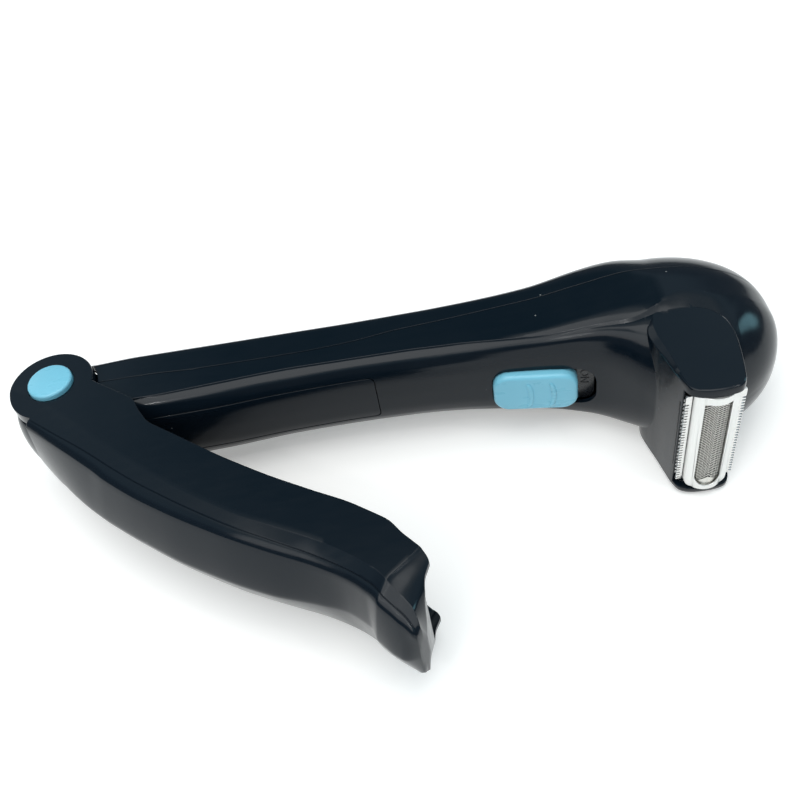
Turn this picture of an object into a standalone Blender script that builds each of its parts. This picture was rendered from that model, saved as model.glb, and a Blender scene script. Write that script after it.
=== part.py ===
# Folding electric back shaver, lying on its side with its handle half open.
# Lengths below are millimetres until a mesh is stored, which is in metres.
# X runs along the arm from the hinge to the head, the shaving foil faces -Y, and Z is the hinge axis.
import math

import bmesh
import bpy
from mathutils import Matrix, Vector

MM = 0.001
GAP = 0.3
WELD = 0.0001

# Where the hinge axis crosses the object's middle plane, in the part's frame
HINGE_AT = (-116.0, 45.9, 27.0)
REST_ANGLE = -37.6

# Arm: the hollow bar from the hinge to the head
ARM_WALL = 1.6
CORNER_STEPS = 5
DOME_CENTRE = (210.0, -11.0)
DOME_RADII = (40.0, 32.8, 27.0)
# how full its near side, far side and top stay towards its tip, and how round its corners are
DOME_FULL = (1.0, 0.7, 0.8)
DOME_CORNERS = (0.90, 0.93, 0.80, 0.82)
# distance along the arm: near face, far face, half height, near corner (y, z), far corner (y, z)
ARM_KEYS = (
    (14.0, (-14.8, 11.6, 16.0, 4.5, 11.0, 3.5, 5.0)),
    (30.0, (-15.2, 12.2, 16.3, 4.5, 11.0, 3.5, 5.0)),
    (54.0, (-14.4, 12.2, 16.3, 4.5, 11.0, 3.5, 5.0)),
    (80.0, (-12.2, 12.6, 16.0, 4.5, 11.0, 3.5, 5.0)),
    (105.0, (-11.4, 12.8, 15.9, 4.5, 11.0, 3.5, 5.0)),
    (128.0, (-12.3, 13.4, 16.0, 4.6, 11.0, 3.8, 5.2)),
    (148.0, (-14.0, 14.0, 16.8, 5.0, 11.0, 4.5, 6.0)),
    (168.0, (-16.6, 15.1, 18.7, 6.0, 11.0, 6.0, 8.0)),
    (186.0, (-20.6, 18.0, 22.6, 9.0, 14.0, 10.0, 12.0)),
    (200.0, (-31.0, 20.8, 25.9, 19.0, 21.0, 18.0, 18.0)),
    (210.0, (-43.8, 21.8, 27.0, 29.5, 25.1, 26.2, 22.1)),
)
ARM_STATIONS = (8, 30, 54, 80, 105, 128, 142, 155, 168, 177, 186, 193, 199, 204, 210)
DOME_ANGLES = (16, 31, 45, 58, 70, 80, 87)
# the line on which the two arm shells part, seen from above
PARTING = ((0, 0.2), (34, -0.1), (52, -1.0), (88, -0.5), (105, 0.6), (123, 3.1), (141, 4.1),
           (159, 4.7), (176, 4.4), (200, 3.1), (225, 1.0), (260, -4.0))

# Neck and shaving head
NECK_X = 215.5
NECK_TOP = 25.0
NECK_LOW = -26.9
NECK_ROOT_Y = -18.0
NECK_BEVEL = 1.6
NECK_STEP_Y = -12.5
NECK_STEP_TOP = 27.4
COMB_WAY_Y = -48.4
# the neck seen from above, from its root round its front
NECK_LINE = ((203.5, -13.0), (200.6, -19.0), (200.6, -26.0), (201.3, -32.0), (203.0, -39.0), (204.6, -45.0),
             (206.2, -50.0), (208.4, -52.6), (211.3, -53.9), (215.5, -54.3), (220.0, -53.8), (223.4, -52.2),
             (225.8, -49.0), (226.9, -44.0), (227.7, -37.0), (228.3, -29.0), (227.6, -23.5), (225.0, -18.0),
             (224.0, -13.0))
# the head unit sits a little below the middle plane
HEAD_Z = -1.0
POCKET_HALF = (10.2, 22.9)
POCKET_FLOOR_Y = -41.5
HEAD_HALF_Z = 22.5
FRAME_HALF = 7.5
FRAME_BACK_Y = -50.0
# one side of the frame's section, from its edge to where its bridge starts
FRAME_SIDE = ((7.5, -51.3), (7.0, -52.4), (4.9, -53.1))
BRIDGE = (6.8, -48.2, 42.0)
WINDOW_HALF = (4.35, 19.6)
# radius of the arch, its centre, its reach in degrees and where its skirts end
FOIL = (6.6, -47.6, 41.2, -50.4)
CUTTER = (5.9, -47.6, 37.6, -50.9)
FOIL_SKIN = 0.4
FOIL_HALF_Z = 21.0
CUTTER_HALF_Z = 18.5
BLADE_HALF_Z = 18.8
COMB_HALF_Z = 20.8
BASE_FRONT_Y = -46.6
COMB_HALVES = (7.8, 9.9)
COMB_TEETH = 28
BLADE_TEETH = 20
STROKE = 1.2

# Hinge stack
EAR_RADIUS = 14.9
EAR_THICKNESS = 5.8
BARREL_HALF = 12.2
BARREL_RADII = (14.0, 17.1)
BARREL_STEPS = 6
HINGE_CLEARANCE = 0.6
TONGUE_END = 32.0
TONGUE_SEAT = 5.0
BUTTON_RADIUS = 7.8
BUTTON_PROUD = 2.2
FLANGE_RADIUS = 8.9
GEAR_TEETH = 12

# Handle: a channel that folds over the arm, at each distance from the hinge
HANDLE_HALF = 19.0
HANDLE_PLATE = 2.2
HANDLE_WALL = 2.2
# distance: inner plate edge, crease, groove, wall at the middle, crease height, inner edge height
HANDLE_KEYS = (
    (4.0, (8.5, -7.8, -12.7, -19.0, 19.0, 19.0)),
    (17.0, (8.0, -9.7, -13.0, -22.2, 19.0, 19.0)),
    (31.0, (8.2, -11.5, -13.4, -25.2, 19.0, 19.0)),
    (38.0, (5.1, -12.1, -13.8, -26.2, 19.0, 19.0)),
    (46.0, (2.6, -12.6, -14.4, -27.0, 19.0, 19.0)),
    (72.0, (2.6, -13.5, -14.8, -27.4, 19.0, 19.0)),
    (92.0, (3.4, -12.9, -14.2, -25.8, 19.0, 19.0)),
    (110.0, (5.2, -10.3, -12.4, -23.0, 19.0, 19.0)),
    (126.0, (7.4, -8.3, -11.0, -18.4, 19.0, 19.0)),
    (136.0, (7.1, -8.0, -10.6, -16.2, 19.0, 19.0)),
    (144.0, (4.9, -8.8, -11.2, -17.0, 19.0, 19.0)),
    (149.0, (3.9, -9.7, -12.1, -19.0, 19.0, 19.0)),
    (151.0, (3.4, -10.2, -12.8, -19.8, 18.2, 18.2)),
    (154.4, (1.6, -11.1, -13.7, -20.9, 16.8, 16.8)),
    (155.6, (-2.6, -11.6, -14.2, -21.1, 16.2, 15.9)),
    (157.0, (-5.6, -12.2, -14.8, -21.2, 15.6, 14.4)),
    (158.6, (-8.5, -13.2, -15.5, -20.8, 15.0, 11.8)),
    (160.2, (-11.0, -14.4, -16.1, -19.8, 14.2, 8.0)),
    (161.5, (-13.4, -15.4, -16.5, -18.4, 12.6, 4.5)),
)
HANDLE_CAVITY_END = 157.0
HANDLE_OPEN_SIDE = 20.0
HANDLE_STATIONS = (4, 14, 22, 31, 38, 46, 60, 75, 90, 105, 118, 128, 137, 144, 149, 151, 154.4, 155.6,
                   157, 158.6, 160.2, 161.5)

# Battery bay, with two AA cells side by side
CELL_RADIUS = 7.0
CELL_LENGTH = 49.2
CELL_NUB = (2.6, 1.3)
CELL_Z = 7.15
CELL_Y = 0.6
BAY_SPAN = (35.9, 94.3)
BAY_HALF = 13.6
CONTACT = 0.4
DOOR_SPAN = (20.0, 112.0)
DOOR_HALF = 9.8
DOOR_TRAVEL = 2.5

# Switch
SWITCH_AT = (166.5, -17.3, -3.0)
SWITCH_TURN = -8.5
SWITCH_LENGTH = 29.0
SWITCH_HALF = 8.4
SWITCH_TRAVEL = 6.0
SWITCH_PROUD = 2.8
TRACK_DEPTH = 3.4

# Motor
MOTOR_RADIUS = 10.0
MOTOR_SPAN = (-29.0, -4.0)
CAM_RADIUS = 3.6
CAM_OFFSET = 1.2
PIN_RADIUS = 0.9

# Screws that hold the two arm shells together, by place along the arm and height
SHELL_SCREWS = ((24.0, 0.0), (121.0, 0.0), (196.0, 14.0), (196.0, -14.0), (236.0, 0.0))
SCREW_SUNK = 2.2
SCREW_HEAD = (2.6, 1.8)
SCREW_SHANK = (1.3, 9.0)
BOSS_RADIUS = 3.4
WIRE_RADIUS = 0.6
WIRE_STEPS = 3

NAVY = (0.012, 0.020, 0.033)
BLUE = (0.16, 0.56, 0.74)
BLACK = (0.012, 0.012, 0.014)
STEEL = (0.62, 0.62, 0.63)
SILVER = (0.80, 0.80, 0.80)
BRASS = (0.72, 0.52, 0.22)
RED = (0.55, 0.03, 0.02)
ROUND = 32


def clear_scene():
    for item in list(bpy.data.objects):
        bpy.data.objects.remove(item, do_unlink=True)


def new_collection(name):
    made = bpy.data.collections.new(name)
    bpy.context.scene.collection.children.link(made)
    return made


def finish(name, colour, roughness, metallic=0.0):
    made = bpy.data.materials.new(name)
    made.use_nodes = True
    shader = made.node_tree.nodes["Principled BSDF"]
    shader.inputs["Base Color"].default_value = (*colour, 1.0)
    shader.inputs["Roughness"].default_value = roughness
    shader.inputs["Metallic"].default_value = metallic
    return made


def add_empty(name, place, parent=None, turn=0.0):
    empty = bpy.data.objects.new(name, None)
    parts.objects.link(empty)
    empty.location = Vector(place) * MM
    empty.rotation_euler = (0.0, 0.0, math.radians(turn))
    empty.parent = parent
    return empty


def store(name, bm, finish_args=None, parent=None, smooth_angle=35.0):
    """One object from a bmesh in millimetres. Without a finish it is a cutter."""
    bmesh.ops.transform(bm, matrix=Matrix.Scale(MM, 4), verts=bm.verts)
    bmesh.ops.recalc_face_normals(bm, faces=bm.faces)
    mesh = bpy.data.meshes.new(name)
    bm.to_mesh(mesh)
    bm.free()
    made = bpy.data.objects.new(name, mesh)
    if finish_args is None:
        cutters.objects.link(made)
        made.hide_render = True
        made.display_type = "WIRE"
    else:
        parts.objects.link(made)
        mesh.materials.append(finish(name, *finish_args))
        mesh.shade_smooth()
        mesh.set_sharp_from_angle(angle=math.radians(smooth_angle))
    made.parent = parent
    return made


def box_mesh(low, high):
    bm = bmesh.new()
    bmesh.ops.create_cube(bm, size=1.0)
    size = [b - a for a, b in zip(low, high)]
    middle = [(a + b) / 2 for a, b in zip(low, high)]
    bmesh.ops.scale(bm, vec=size, verts=bm.verts)
    bmesh.ops.translate(bm, vec=middle, verts=bm.verts)
    return bm


def rod_mesh(radius, start, end, segments=ROUND):
    """A cylinder between two points."""
    start, end = Vector(start), Vector(end)
    bm = bmesh.new()
    bmesh.ops.create_cone(bm, cap_ends=True, segments=segments, radius1=radius, radius2=radius,
                          depth=(end - start).length)
    turn = (end - start).to_track_quat("Z", "Y").to_matrix().to_4x4()
    bmesh.ops.transform(bm, matrix=Matrix.Translation((start + end) / 2) @ turn, verts=bm.verts)
    return bm


def shape_of(data, add_modifier=None):
    """What a curve, or a mesh with one modifier, evaluates to."""
    holder = bpy.data.objects.new(data.name, data)
    cutters.objects.link(holder)
    if add_modifier:
        add_modifier(holder)
    graph = bpy.context.evaluated_depsgraph_get()
    mesh = bpy.data.meshes.new_from_object(holder.evaluated_get(graph), depsgraph=graph)
    bpy.data.objects.remove(holder)
    bm = bmesh.new()
    bm.from_mesh(mesh)
    bmesh.ops.remove_doubles(bm, verts=bm.verts, dist=WELD)
    return bm


def turned_mesh(profile, segments=ROUND):
    """A solid of revolution about Z, from (radius, height) points down its outer side."""
    last = len(profile) - 1
    edges = [(i, i + 1) for i in range(last)]
    if profile[0][0] > 0.0:
        edges.append((last, 0))
    mesh = bpy.data.meshes.new("profile")
    mesh.from_pydata([(radius, 0.0, height) for radius, height in profile], edges, [])

    def add_screw(holder):
        screw = holder.modifiers.new("turn", "SCREW")
        screw.steps = segments
        screw.render_steps = segments
        screw.use_merge_vertices = True
        screw.merge_threshold = WELD

    return shape_of(mesh, add_screw)


def prism_mesh(outline, low, high):
    """A flat outline in X and Y, raised along Z."""
    curve = bpy.data.curves.new("outline", "CURVE")
    curve.dimensions = "2D"
    curve.fill_mode = "BOTH"
    curve.extrude = (high - low) / 2
    line = curve.splines.new("POLY")
    line.points.add(len(outline) - 1)
    for point, (x, y) in zip(line.points, outline):
        point.co = (x, y, 0.0, 1.0)
    line.use_cyclic_u = True
    bm = shape_of(curve)
    bmesh.ops.translate(bm, vec=(0, 0, (low + high) / 2), verts=bm.verts)
    return bm


def side_prism(outline, low, high):
    """A flat outline in Y and Z, raised along X."""
    bm = prism_mesh(outline, low, high)
    turn = Matrix(((0, 0, 1, 0), (1, 0, 0, 0), (0, 1, 0, 0), (0, 0, 0, 1)))
    bmesh.ops.transform(bm, matrix=turn, verts=bm.verts)
    return bm


def loft_mesh(rings):
    """A closed solid through rings that have the same number of points."""
    bm = bmesh.new()
    rows = [[bm.verts.new(point) for point in ring] for ring in rings]
    for row, following in zip(rows, rows[1:]):
        for i in range(len(row)):
            j = (i + 1) % len(row)
            bm.faces.new((row[i], row[j], following[j], following[i]))
    caps = [bm.faces.new(rows[0]), bm.faces.new(rows[-1])]
    bmesh.ops.recalc_face_normals(bm, faces=bm.faces)
    bmesh.ops.triangulate(bm, faces=caps, ngon_method="EAR_CLIP")
    return bm


def coil(name, radius, wire, turns, low, high, finish_args, parent, steps=10):
    """One unbroken round wire that winds about Z."""
    count = turns * steps
    curve = bpy.data.curves.new(name, "CURVE")
    curve.dimensions = "3D"
    curve.bevel_depth = wire / 2 * MM
    curve.bevel_resolution = 1
    curve.use_fill_caps = True
    line = curve.splines.new("POLY")
    line.points.add(count)
    for i, point in enumerate(line.points):
        turn = math.tau * i / steps
        height = low + (high - low) * i / count
        point.co = (radius * math.cos(turn) * MM, radius * math.sin(turn) * MM, height * MM, 1.0)
    print(name, "least gap between turns:", round((high - low) / turns - wire, 2), "mm")
    made = bpy.data.objects.new(name, curve)
    parts.objects.link(made)
    curve.materials.append(finish(name, *finish_args))
    made.parent = parent
    return made


def shape_with(target, operation, tool):
    step = target.modifiers.new(tool.name, "BOOLEAN")
    step.operation = operation
    step.solver = "EXACT"
    step.object = tool


def cut(target, name, bm, parent=None):
    shape_with(target, "DIFFERENCE", store(name, bm, parent=parent or target.parent))


def join(target, name, bm, parent=None):
    shape_with(target, "UNION", store(name, bm, parent=parent or target.parent))


def keep(target, name, bm):
    shape_with(target, "INTERSECT", store(name, bm, parent=target.parent))


def slopes(places, values):
    """Slopes of a smooth curve through the values that never overshoots them."""
    runs = [(b - a) / (q - p) for p, q, a, b in zip(places, places[1:], values, values[1:])]
    found = [runs[0]]
    for before, after in zip(runs, runs[1:]):
        found.append(0.0 if before * after <= 0 else 2 * before * after / (before + after))
    return found + [runs[-1]]


def along(keys, place):
    """The row of values at a place between the keys."""
    places = [key[0] for key in keys]
    place = min(max(place, places[0]), places[-1])
    i = max(k for k in range(len(places) - 1) if places[k] <= place)
    span = places[i + 1] - places[i]
    t = (place - places[i]) / span
    row = []
    for values in zip(*(key[1] for key in keys)):
        tilt = slopes(places, values)
        row.append(values[i] * (1 + 2 * t) * (1 - t) ** 2 + tilt[i] * span * t * (1 - t) ** 2
                   + values[i + 1] * t * t * (3 - 2 * t) + tilt[i + 1] * span * t * t * (t - 1))
    return row


def arm_slice(place, near, far, half, near_y, near_z, far_y, far_z):
    """One closed ring across the arm, with flat sides and four elliptical corners."""
    ring = []
    for quarter, (side, wide, tall) in enumerate(((far, far_y, far_z), (near, near_y, near_z),
                                                 (near, near_y, near_z), (far, far_y, far_z))):
        outward = 1 if quarter in (0, 3) else -1
        upward = 1 if quarter in (0, 1) else -1
        for step in range(CORNER_STEPS + 1):
            turn = math.radians(90 * (quarter + step / CORNER_STEPS))
            y = side - outward * wide + wide * math.cos(turn)
            z = upward * (half - tall) + tall * math.sin(turn)
            ring.append((place, y, z))
    return ring


def dome_values(share):
    """Slice values of the rounded end, at a share of its length."""
    wide = math.sqrt(max(1 - share * share, 0.0))
    near, far = (DOME_RADII[1] * wide ** full for full in DOME_FULL[:2])
    half = DOME_RADII[2] * wide ** DOME_FULL[2]
    middle = DOME_CENTRE[1]
    corners = [share * size for share, size in zip(DOME_CORNERS, (near, half, far, half))]
    return middle - near, middle + far, half, *corners


def arm_values(place):
    if place <= DOME_CENTRE[0]:
        return along(ARM_KEYS, place)
    return dome_values((place - DOME_CENTRE[0]) / DOME_RADII[0])


def arm_rings(inset):
    """The arm's rings, drawn in by a wall thickness."""
    places = list(ARM_STATIONS)
    places += [DOME_CENTRE[0] + DOME_RADII[0] * math.sin(math.radians(angle)) for angle in DOME_ANGLES]
    rings = []
    for place in places:
        near, far, half, near_y, near_z, far_y, far_z = arm_values(place)
        if inset and half < 3.2 * inset:
            continue
        corners = [max(value - inset, 1.0) for value in (near_y, near_z, far_y, far_z)]
        shown = place - inset if place == ARM_STATIONS[0] else place
        rings.append(arm_slice(shown, near + inset, far - inset, half - inset, *corners))
    return rings


def face_at(place, height, side):
    """Where the arm's outer surface lies at a height: side 1 is the rear, -1 the front."""
    near, far, half, near_y, near_z, far_y, far_z = arm_values(place)
    face, wide, tall = (far, far_y, far_z) if side > 0 else (near, near_y, near_z)
    rise = max(abs(height) - (half - tall), 0.0) / tall
    return face - side * wide * (1 - math.sqrt(1 - rise * rise))


def boss_end(place, height, side):
    """How far a boss may reach and stay inside the shell's outer surface."""
    corners = [face_at(place + BOSS_RADIUS * a, abs(height) + BOSS_RADIUS * b, side)
               for a, b in ((-1, 0), (1, 0), (0, 1), (0, 0))]
    return side * min(side * y for y in corners) - side * 0.5


def neck_mesh():
    bm = prism_mesh(NECK_LINE, NECK_LOW, NECK_TOP)
    rims = [edge for edge in bm.edges
            if abs(edge.verts[0].co.z - edge.verts[1].co.z) < WELD and edge.calc_face_angle(0.0) > 1.0]
    bmesh.ops.bevel(bm, geom=rims, offset=NECK_BEVEL, segments=2, profile=0.5, affect="EDGES")
    return bm


def rear_outline(shift):
    """Everything behind the parting line, moved back by a shift."""
    line = [(x, y + shift) for x, y in PARTING]
    return line + [(270.0, line[-1][1]), (270.0, 60.0), (-10.0, 60.0), (-10.0, line[0][1])]


def handle_slice(place, inner, crease, groove, wall, height, rim):
    """One ring round the handle: plate, rim, groove and bulged wall."""
    bulge = groove - wall
    half = height - 6.6
    upper = [(inner, rim), (crease, height), (groove + 0.35 * (crease - groove), height - 1.2),
             (groove - 0.2, height - 4.4), (groove + 0.5, height - 5.4)]
    turns = [math.radians(turn) for turn in (80, 58, 38, 18)]
    upper += [(groove - bulge * math.cos(turn), half * math.sin(turn)) for turn in turns]
    ring = upper + [(wall, 0.0)] + [(y, -z) for y, z in reversed(upper)]
    return [(place, y, z) for y, z in ring]


def channel_slice(place, inner, crease, groove, wall, height, rim):
    """One ring of the hollow between the handle's plates."""
    bulge = groove - wall
    half = min(height - HANDLE_PLATE, rim - 1.4)
    tall = height - 7.4
    upper = [(HANDLE_OPEN_SIDE, half), (groove + 2.6, half)]
    turns = [math.radians(turn) for turn in (80, 58, 38, 18)]
    upper += [(groove + HANDLE_WALL - bulge * math.cos(turn), tall * math.sin(turn)) for turn in turns]
    ring = upper + [(wall + HANDLE_WALL, 0.0)] + [(y, -z) for y, z in reversed(upper)]
    return [(place, y, z) for y, z in ring]


def parting_at(place):
    i = max(k for k in range(len(PARTING) - 1) if PARTING[k][0] <= place)
    (x0, y0), (x1, y1) = PARTING[i], PARTING[i + 1]
    return y0 + (y1 - y0) * (place - x0) / (x1 - x0)


def door_box(slack, travel=0.0):
    return box_mesh((DOOR_SPAN[0] + slack + travel, -30.0, -DOOR_HALF + slack),
                    (DOOR_SPAN[1] - slack, -7.0, DOOR_HALF - slack))


def screw_seat(place):
    """How deep each screw head sits, measured on Y, and where its shank ends."""
    head = arm_values(place)[1] - SCREW_SUNK
    return head, head - SCREW_HEAD[1] - SCREW_SHANK[1]


def barrel_radius(height):
    edge, middle = BARREL_RADII
    return edge + (middle - edge) * math.sqrt(max(1 - (height / BARREL_HALF) ** 2, 0.0))


def barrel_profile(slack):
    """The barrel's bulged outline from top to bottom, grown by a slack."""
    heights = [BARREL_HALF * math.cos(math.pi * i / BARREL_STEPS) for i in range(BARREL_STEPS + 1)]
    return [(barrel_radius(height) + slack, height) for height in heights]


def hinge_way():
    """The round space that the arm leaves for the handle's ears and the barrel."""
    ear = EAR_RADIUS + HINGE_CLEARANCE
    middle = [(max(radius, ear), height) for radius, height in barrel_profile(GAP)]
    return turned_mesh([(0, 30), (ear, 30), *middle, (ear, -30), (0, -30)])


def build_arm_shells():
    """Rear and front halves of the arm, with the neck on the front one."""
    rear = store("rear_shell", loft_mesh(arm_rings(0.0)), (NAVY, 0.16), root)
    cut(rear, "rear_cavity", loft_mesh(arm_rings(ARM_WALL)))
    for place, height in SHELL_SCREWS:
        base = TONGUE_SEAT + GAP if place < TONGUE_END else parting_at(place) + 2.0
        join(rear, "rear_boss", rod_mesh(BOSS_RADIUS, (place, base, height),
                                         (place, boss_end(place, height, 1), height), 12))
    keep(rear, "rear_side", prism_mesh(rear_outline(GAP / 2), -40, 40))
    cut(rear, "rear_hinge_way", hinge_way())
    for place, height in SHELL_SCREWS:
        head, _ = screw_seat(place)
        cut(rear, "head_bore", rod_mesh(SCREW_HEAD[0] + GAP, (place, head - SCREW_HEAD[1] - GAP, height),
                                        (place, 40, height), 12))
        cut(rear, "shank_bore", rod_mesh(SCREW_SHANK[0] + GAP, (place, -20, height), (place, 40, height), 12))
    front = store("front_shell", loft_mesh(arm_rings(0.0)), (NAVY, 0.16), root)
    join(front, "neck", neck_mesh())
    cut(front, "front_cavity", loft_mesh(arm_rings(ARM_WALL)))
    for place, height in SHELL_SCREWS[1:]:
        join(front, "front_boss", rod_mesh(BOSS_RADIUS, (place, boss_end(place, height, -1), height),
                                           (place, parting_at(place) + 0.5, height), 12))
    cut(front, "front_side", prism_mesh(rear_outline(-GAP / 2), -40, 40))
    for place, height in SHELL_SCREWS[1:]:
        _, tip = screw_seat(place)
        cut(front, "thread_bore", rod_mesh(SCREW_SHANK[0] + GAP, (place, tip - 1.0, height), (place, 40, height), 12))
    cut(front, "front_hinge_way", hinge_way())
    cut(front, "neck_bore", box_mesh((NECK_X - 9.6, -42.5, -15.0), (NECK_X + 9.6, -20.0, 15.0)))
    low, high = HEAD_Z - POCKET_HALF[1], HEAD_Z + POCKET_HALF[1]
    cut(front, "head_pocket", box_mesh((NECK_X - POCKET_HALF[0], -60.0, low),
                                       (NECK_X + POCKET_HALF[0], POCKET_FLOOR_Y, high)))
    cut(front, "comb_way", box_mesh((NECK_X - 20, -60.0, low), (NECK_X + 20, COMB_WAY_Y, high)))
    slope = [(-60.0, NECK_TOP), (NECK_ROOT_Y, NECK_TOP), (NECK_STEP_Y, NECK_STEP_TOP),
             (NECK_STEP_Y, 40.0), (-60.0, 40.0)]
    cut(front, "neck_step", side_prism(slope, NECK_X - 20, NECK_X + 20))
    cut(front, "door_opening", door_box(0.0))
    cut(front, "switch_opening",
        box_mesh((-SWITCH_LENGTH / 2 - GAP, -15.0, -SWITCH_HALF - GAP),
                 (SWITCH_LENGTH / 2 + SWITCH_TRAVEL + GAP, TRACK_DEPTH + 3, SWITCH_HALF + GAP)), switch_place)


def build_battery_cover():
    cover = store("battery_cover", loft_mesh(arm_rings(0.0)), (NAVY, 0.16), root)
    cut(cover, "cover_inside", loft_mesh(arm_rings(ARM_WALL)))
    keep(cover, "cover_bounds", door_box(GAP, DOOR_TRAVEL))


def build_hinge():
    """Barrel on the arm, lock parts inside it, and the handle's pivot pin."""
    recess, floor = 9.2, 4.0
    profile = [(0, BARREL_HALF), *barrel_profile(0.0), (0, -BARREL_HALF)]
    barrel = store("hinge_barrel", turned_mesh(profile), (NAVY, 0.16), root)
    join(barrel, "tongue", box_mesh((5, -10.0, -BARREL_HALF + 0.5), (TONGUE_END, 9.0, BARREL_HALF - 0.5)))
    cut(barrel, "tongue_hollow", box_mesh((19, -20.0, -BARREL_HALF + 3), (40, -1.0, BARREL_HALF - 3)))
    cut(barrel, "boss_seat", rod_mesh(BOSS_RADIUS + GAP, (SHELL_SCREWS[0][0], TONGUE_SEAT, 0),
                                      (SHELL_SCREWS[0][0], 30, 0), 16))
    cut(barrel, "spring_bore", rod_mesh(7.0, (0, 0, -4.0), (0, 0, 30)))
    gear_space = rod_mesh(recess, (0, 0, floor), (0, 0, 30))
    cut(barrel, "gear_recess", gear_space)
    cut(barrel, "pin_bore", rod_mesh(2.8, (0, 0, -30), (0, 0, 30), 16))
    place, height = SHELL_SCREWS[0]
    _, tip = screw_seat(place)
    cut(barrel, "tongue_thread", rod_mesh(SCREW_SHANK[0] + GAP, (place, tip - 1, height), (place, 30, height), 12))
    for name, side in (("hinge_washer_top", 1), ("hinge_washer_bottom", -1)):
        low, high = sorted((side * (BARREL_HALF + GAP), side * (BARREL_HALF + GAP + 0.4)))
        store(name, turned_mesh(((12.8, high), (12.8, low), (9.8, low), (9.8, high)), 24), (STEEL, 0.35, 1.0), root)
    top = HANDLE_HALF + BUTTON_PROUD
    cap = [(0, top), (BUTTON_RADIUS - 1.3, top - 0.1), (BUTTON_RADIUS - 0.3, top - 0.5), (BUTTON_RADIUS, top - 1.2)]
    flange = [(BUTTON_RADIUS, 16.2), (FLANGE_RADIUS, 16.2), (FLANGE_RADIUS, 14.4), (5.6, 14.4), (5.6, 12.4)]
    bore = [(3.1, 12.4), (3.1, 18.6), (0, 18.6)]
    store("lock_button", turned_mesh(cap + flange + bore), (BLUE, 0.3), root)
    tooth = math.tau / GEAR_TEETH
    outline = []
    for i in range(GEAR_TEETH):
        for share, radius in ((-0.32, 7.6), (-0.2, 8.8), (0.2, 8.8), (0.32, 7.6)):
            turn = (i + share) * tooth
            outline.append((radius * math.cos(turn), radius * math.sin(turn)))
    gear = store("lock_gear", prism_mesh(outline, 7.4, 12.0), (STEEL, 0.4, 1.0), root)
    cut(gear, "gear_bore", rod_mesh(3.1, (0, 0, 0), (0, 0, 20), 16))
    coil("lock_spring", 5.4, 0.9, 5, -3.0, 6.4, (STEEL, 0.35, 1.0), root)
    store("pivot_pin", turned_mesh(((0, 15.0), (2.4, 15.0), (2.4, -17.0), (4.6, -17.0), (4.6, -18.4),
                                    (0, -18.4)), 20), (STEEL, 0.3, 1.0), fold)


def build_handle():
    handle = store("handle_shell", loft_mesh([handle_slice(place, *along(HANDLE_KEYS, place))
                                              for place in HANDLE_STATIONS]), (NAVY, 0.16), fold)
    inside = [place for place in HANDLE_STATIONS if place <= HANDLE_CAVITY_END]
    rings = [channel_slice(place, *along(HANDLE_KEYS, place)) for place in inside]
    rings.insert(0, [(-20.0, y, z) for _, y, z in rings[0]])
    cut(handle, "channel", loft_mesh(rings))
    top, low = HANDLE_HALF, HANDLE_HALF - EAR_THICKNESS
    ear = ((0, top), (EAR_RADIUS - 1.1, top), (EAR_RADIUS - 0.2, top - 1.2), (EAR_RADIUS, top - 3.8),
           (EAR_RADIUS - 0.5, low), (0, low))
    join(handle, "ear_top", turned_mesh(ear, 40))
    join(handle, "ear_bottom", turned_mesh([(radius, -height) for radius, height in reversed(ear)], 40))
    cut(handle, "button_hole", rod_mesh(BUTTON_RADIUS + GAP, (0, 0, 5), (0, 0, 30)))
    cut(handle, "flange_seat", rod_mesh(FLANGE_RADIUS + GAP, (0, 0, 5), (0, 0, 16.5)))
    cut(handle, "pin_hole", rod_mesh(2.7, (0, 0, -30), (0, 0, 0), 16))
    cut(handle, "pin_head_seat", rod_mesh(4.9, (0, 0, -30), (0, 0, -16.7), 20))
    way = [(radius, height) for radius, height in barrel_profile(HINGE_CLEARANCE)]
    cut(handle, "barrel_way", turned_mesh([(0, low), (way[0][0], low), *way, (way[-1][0], -low), (0, -low)], 40))


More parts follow.
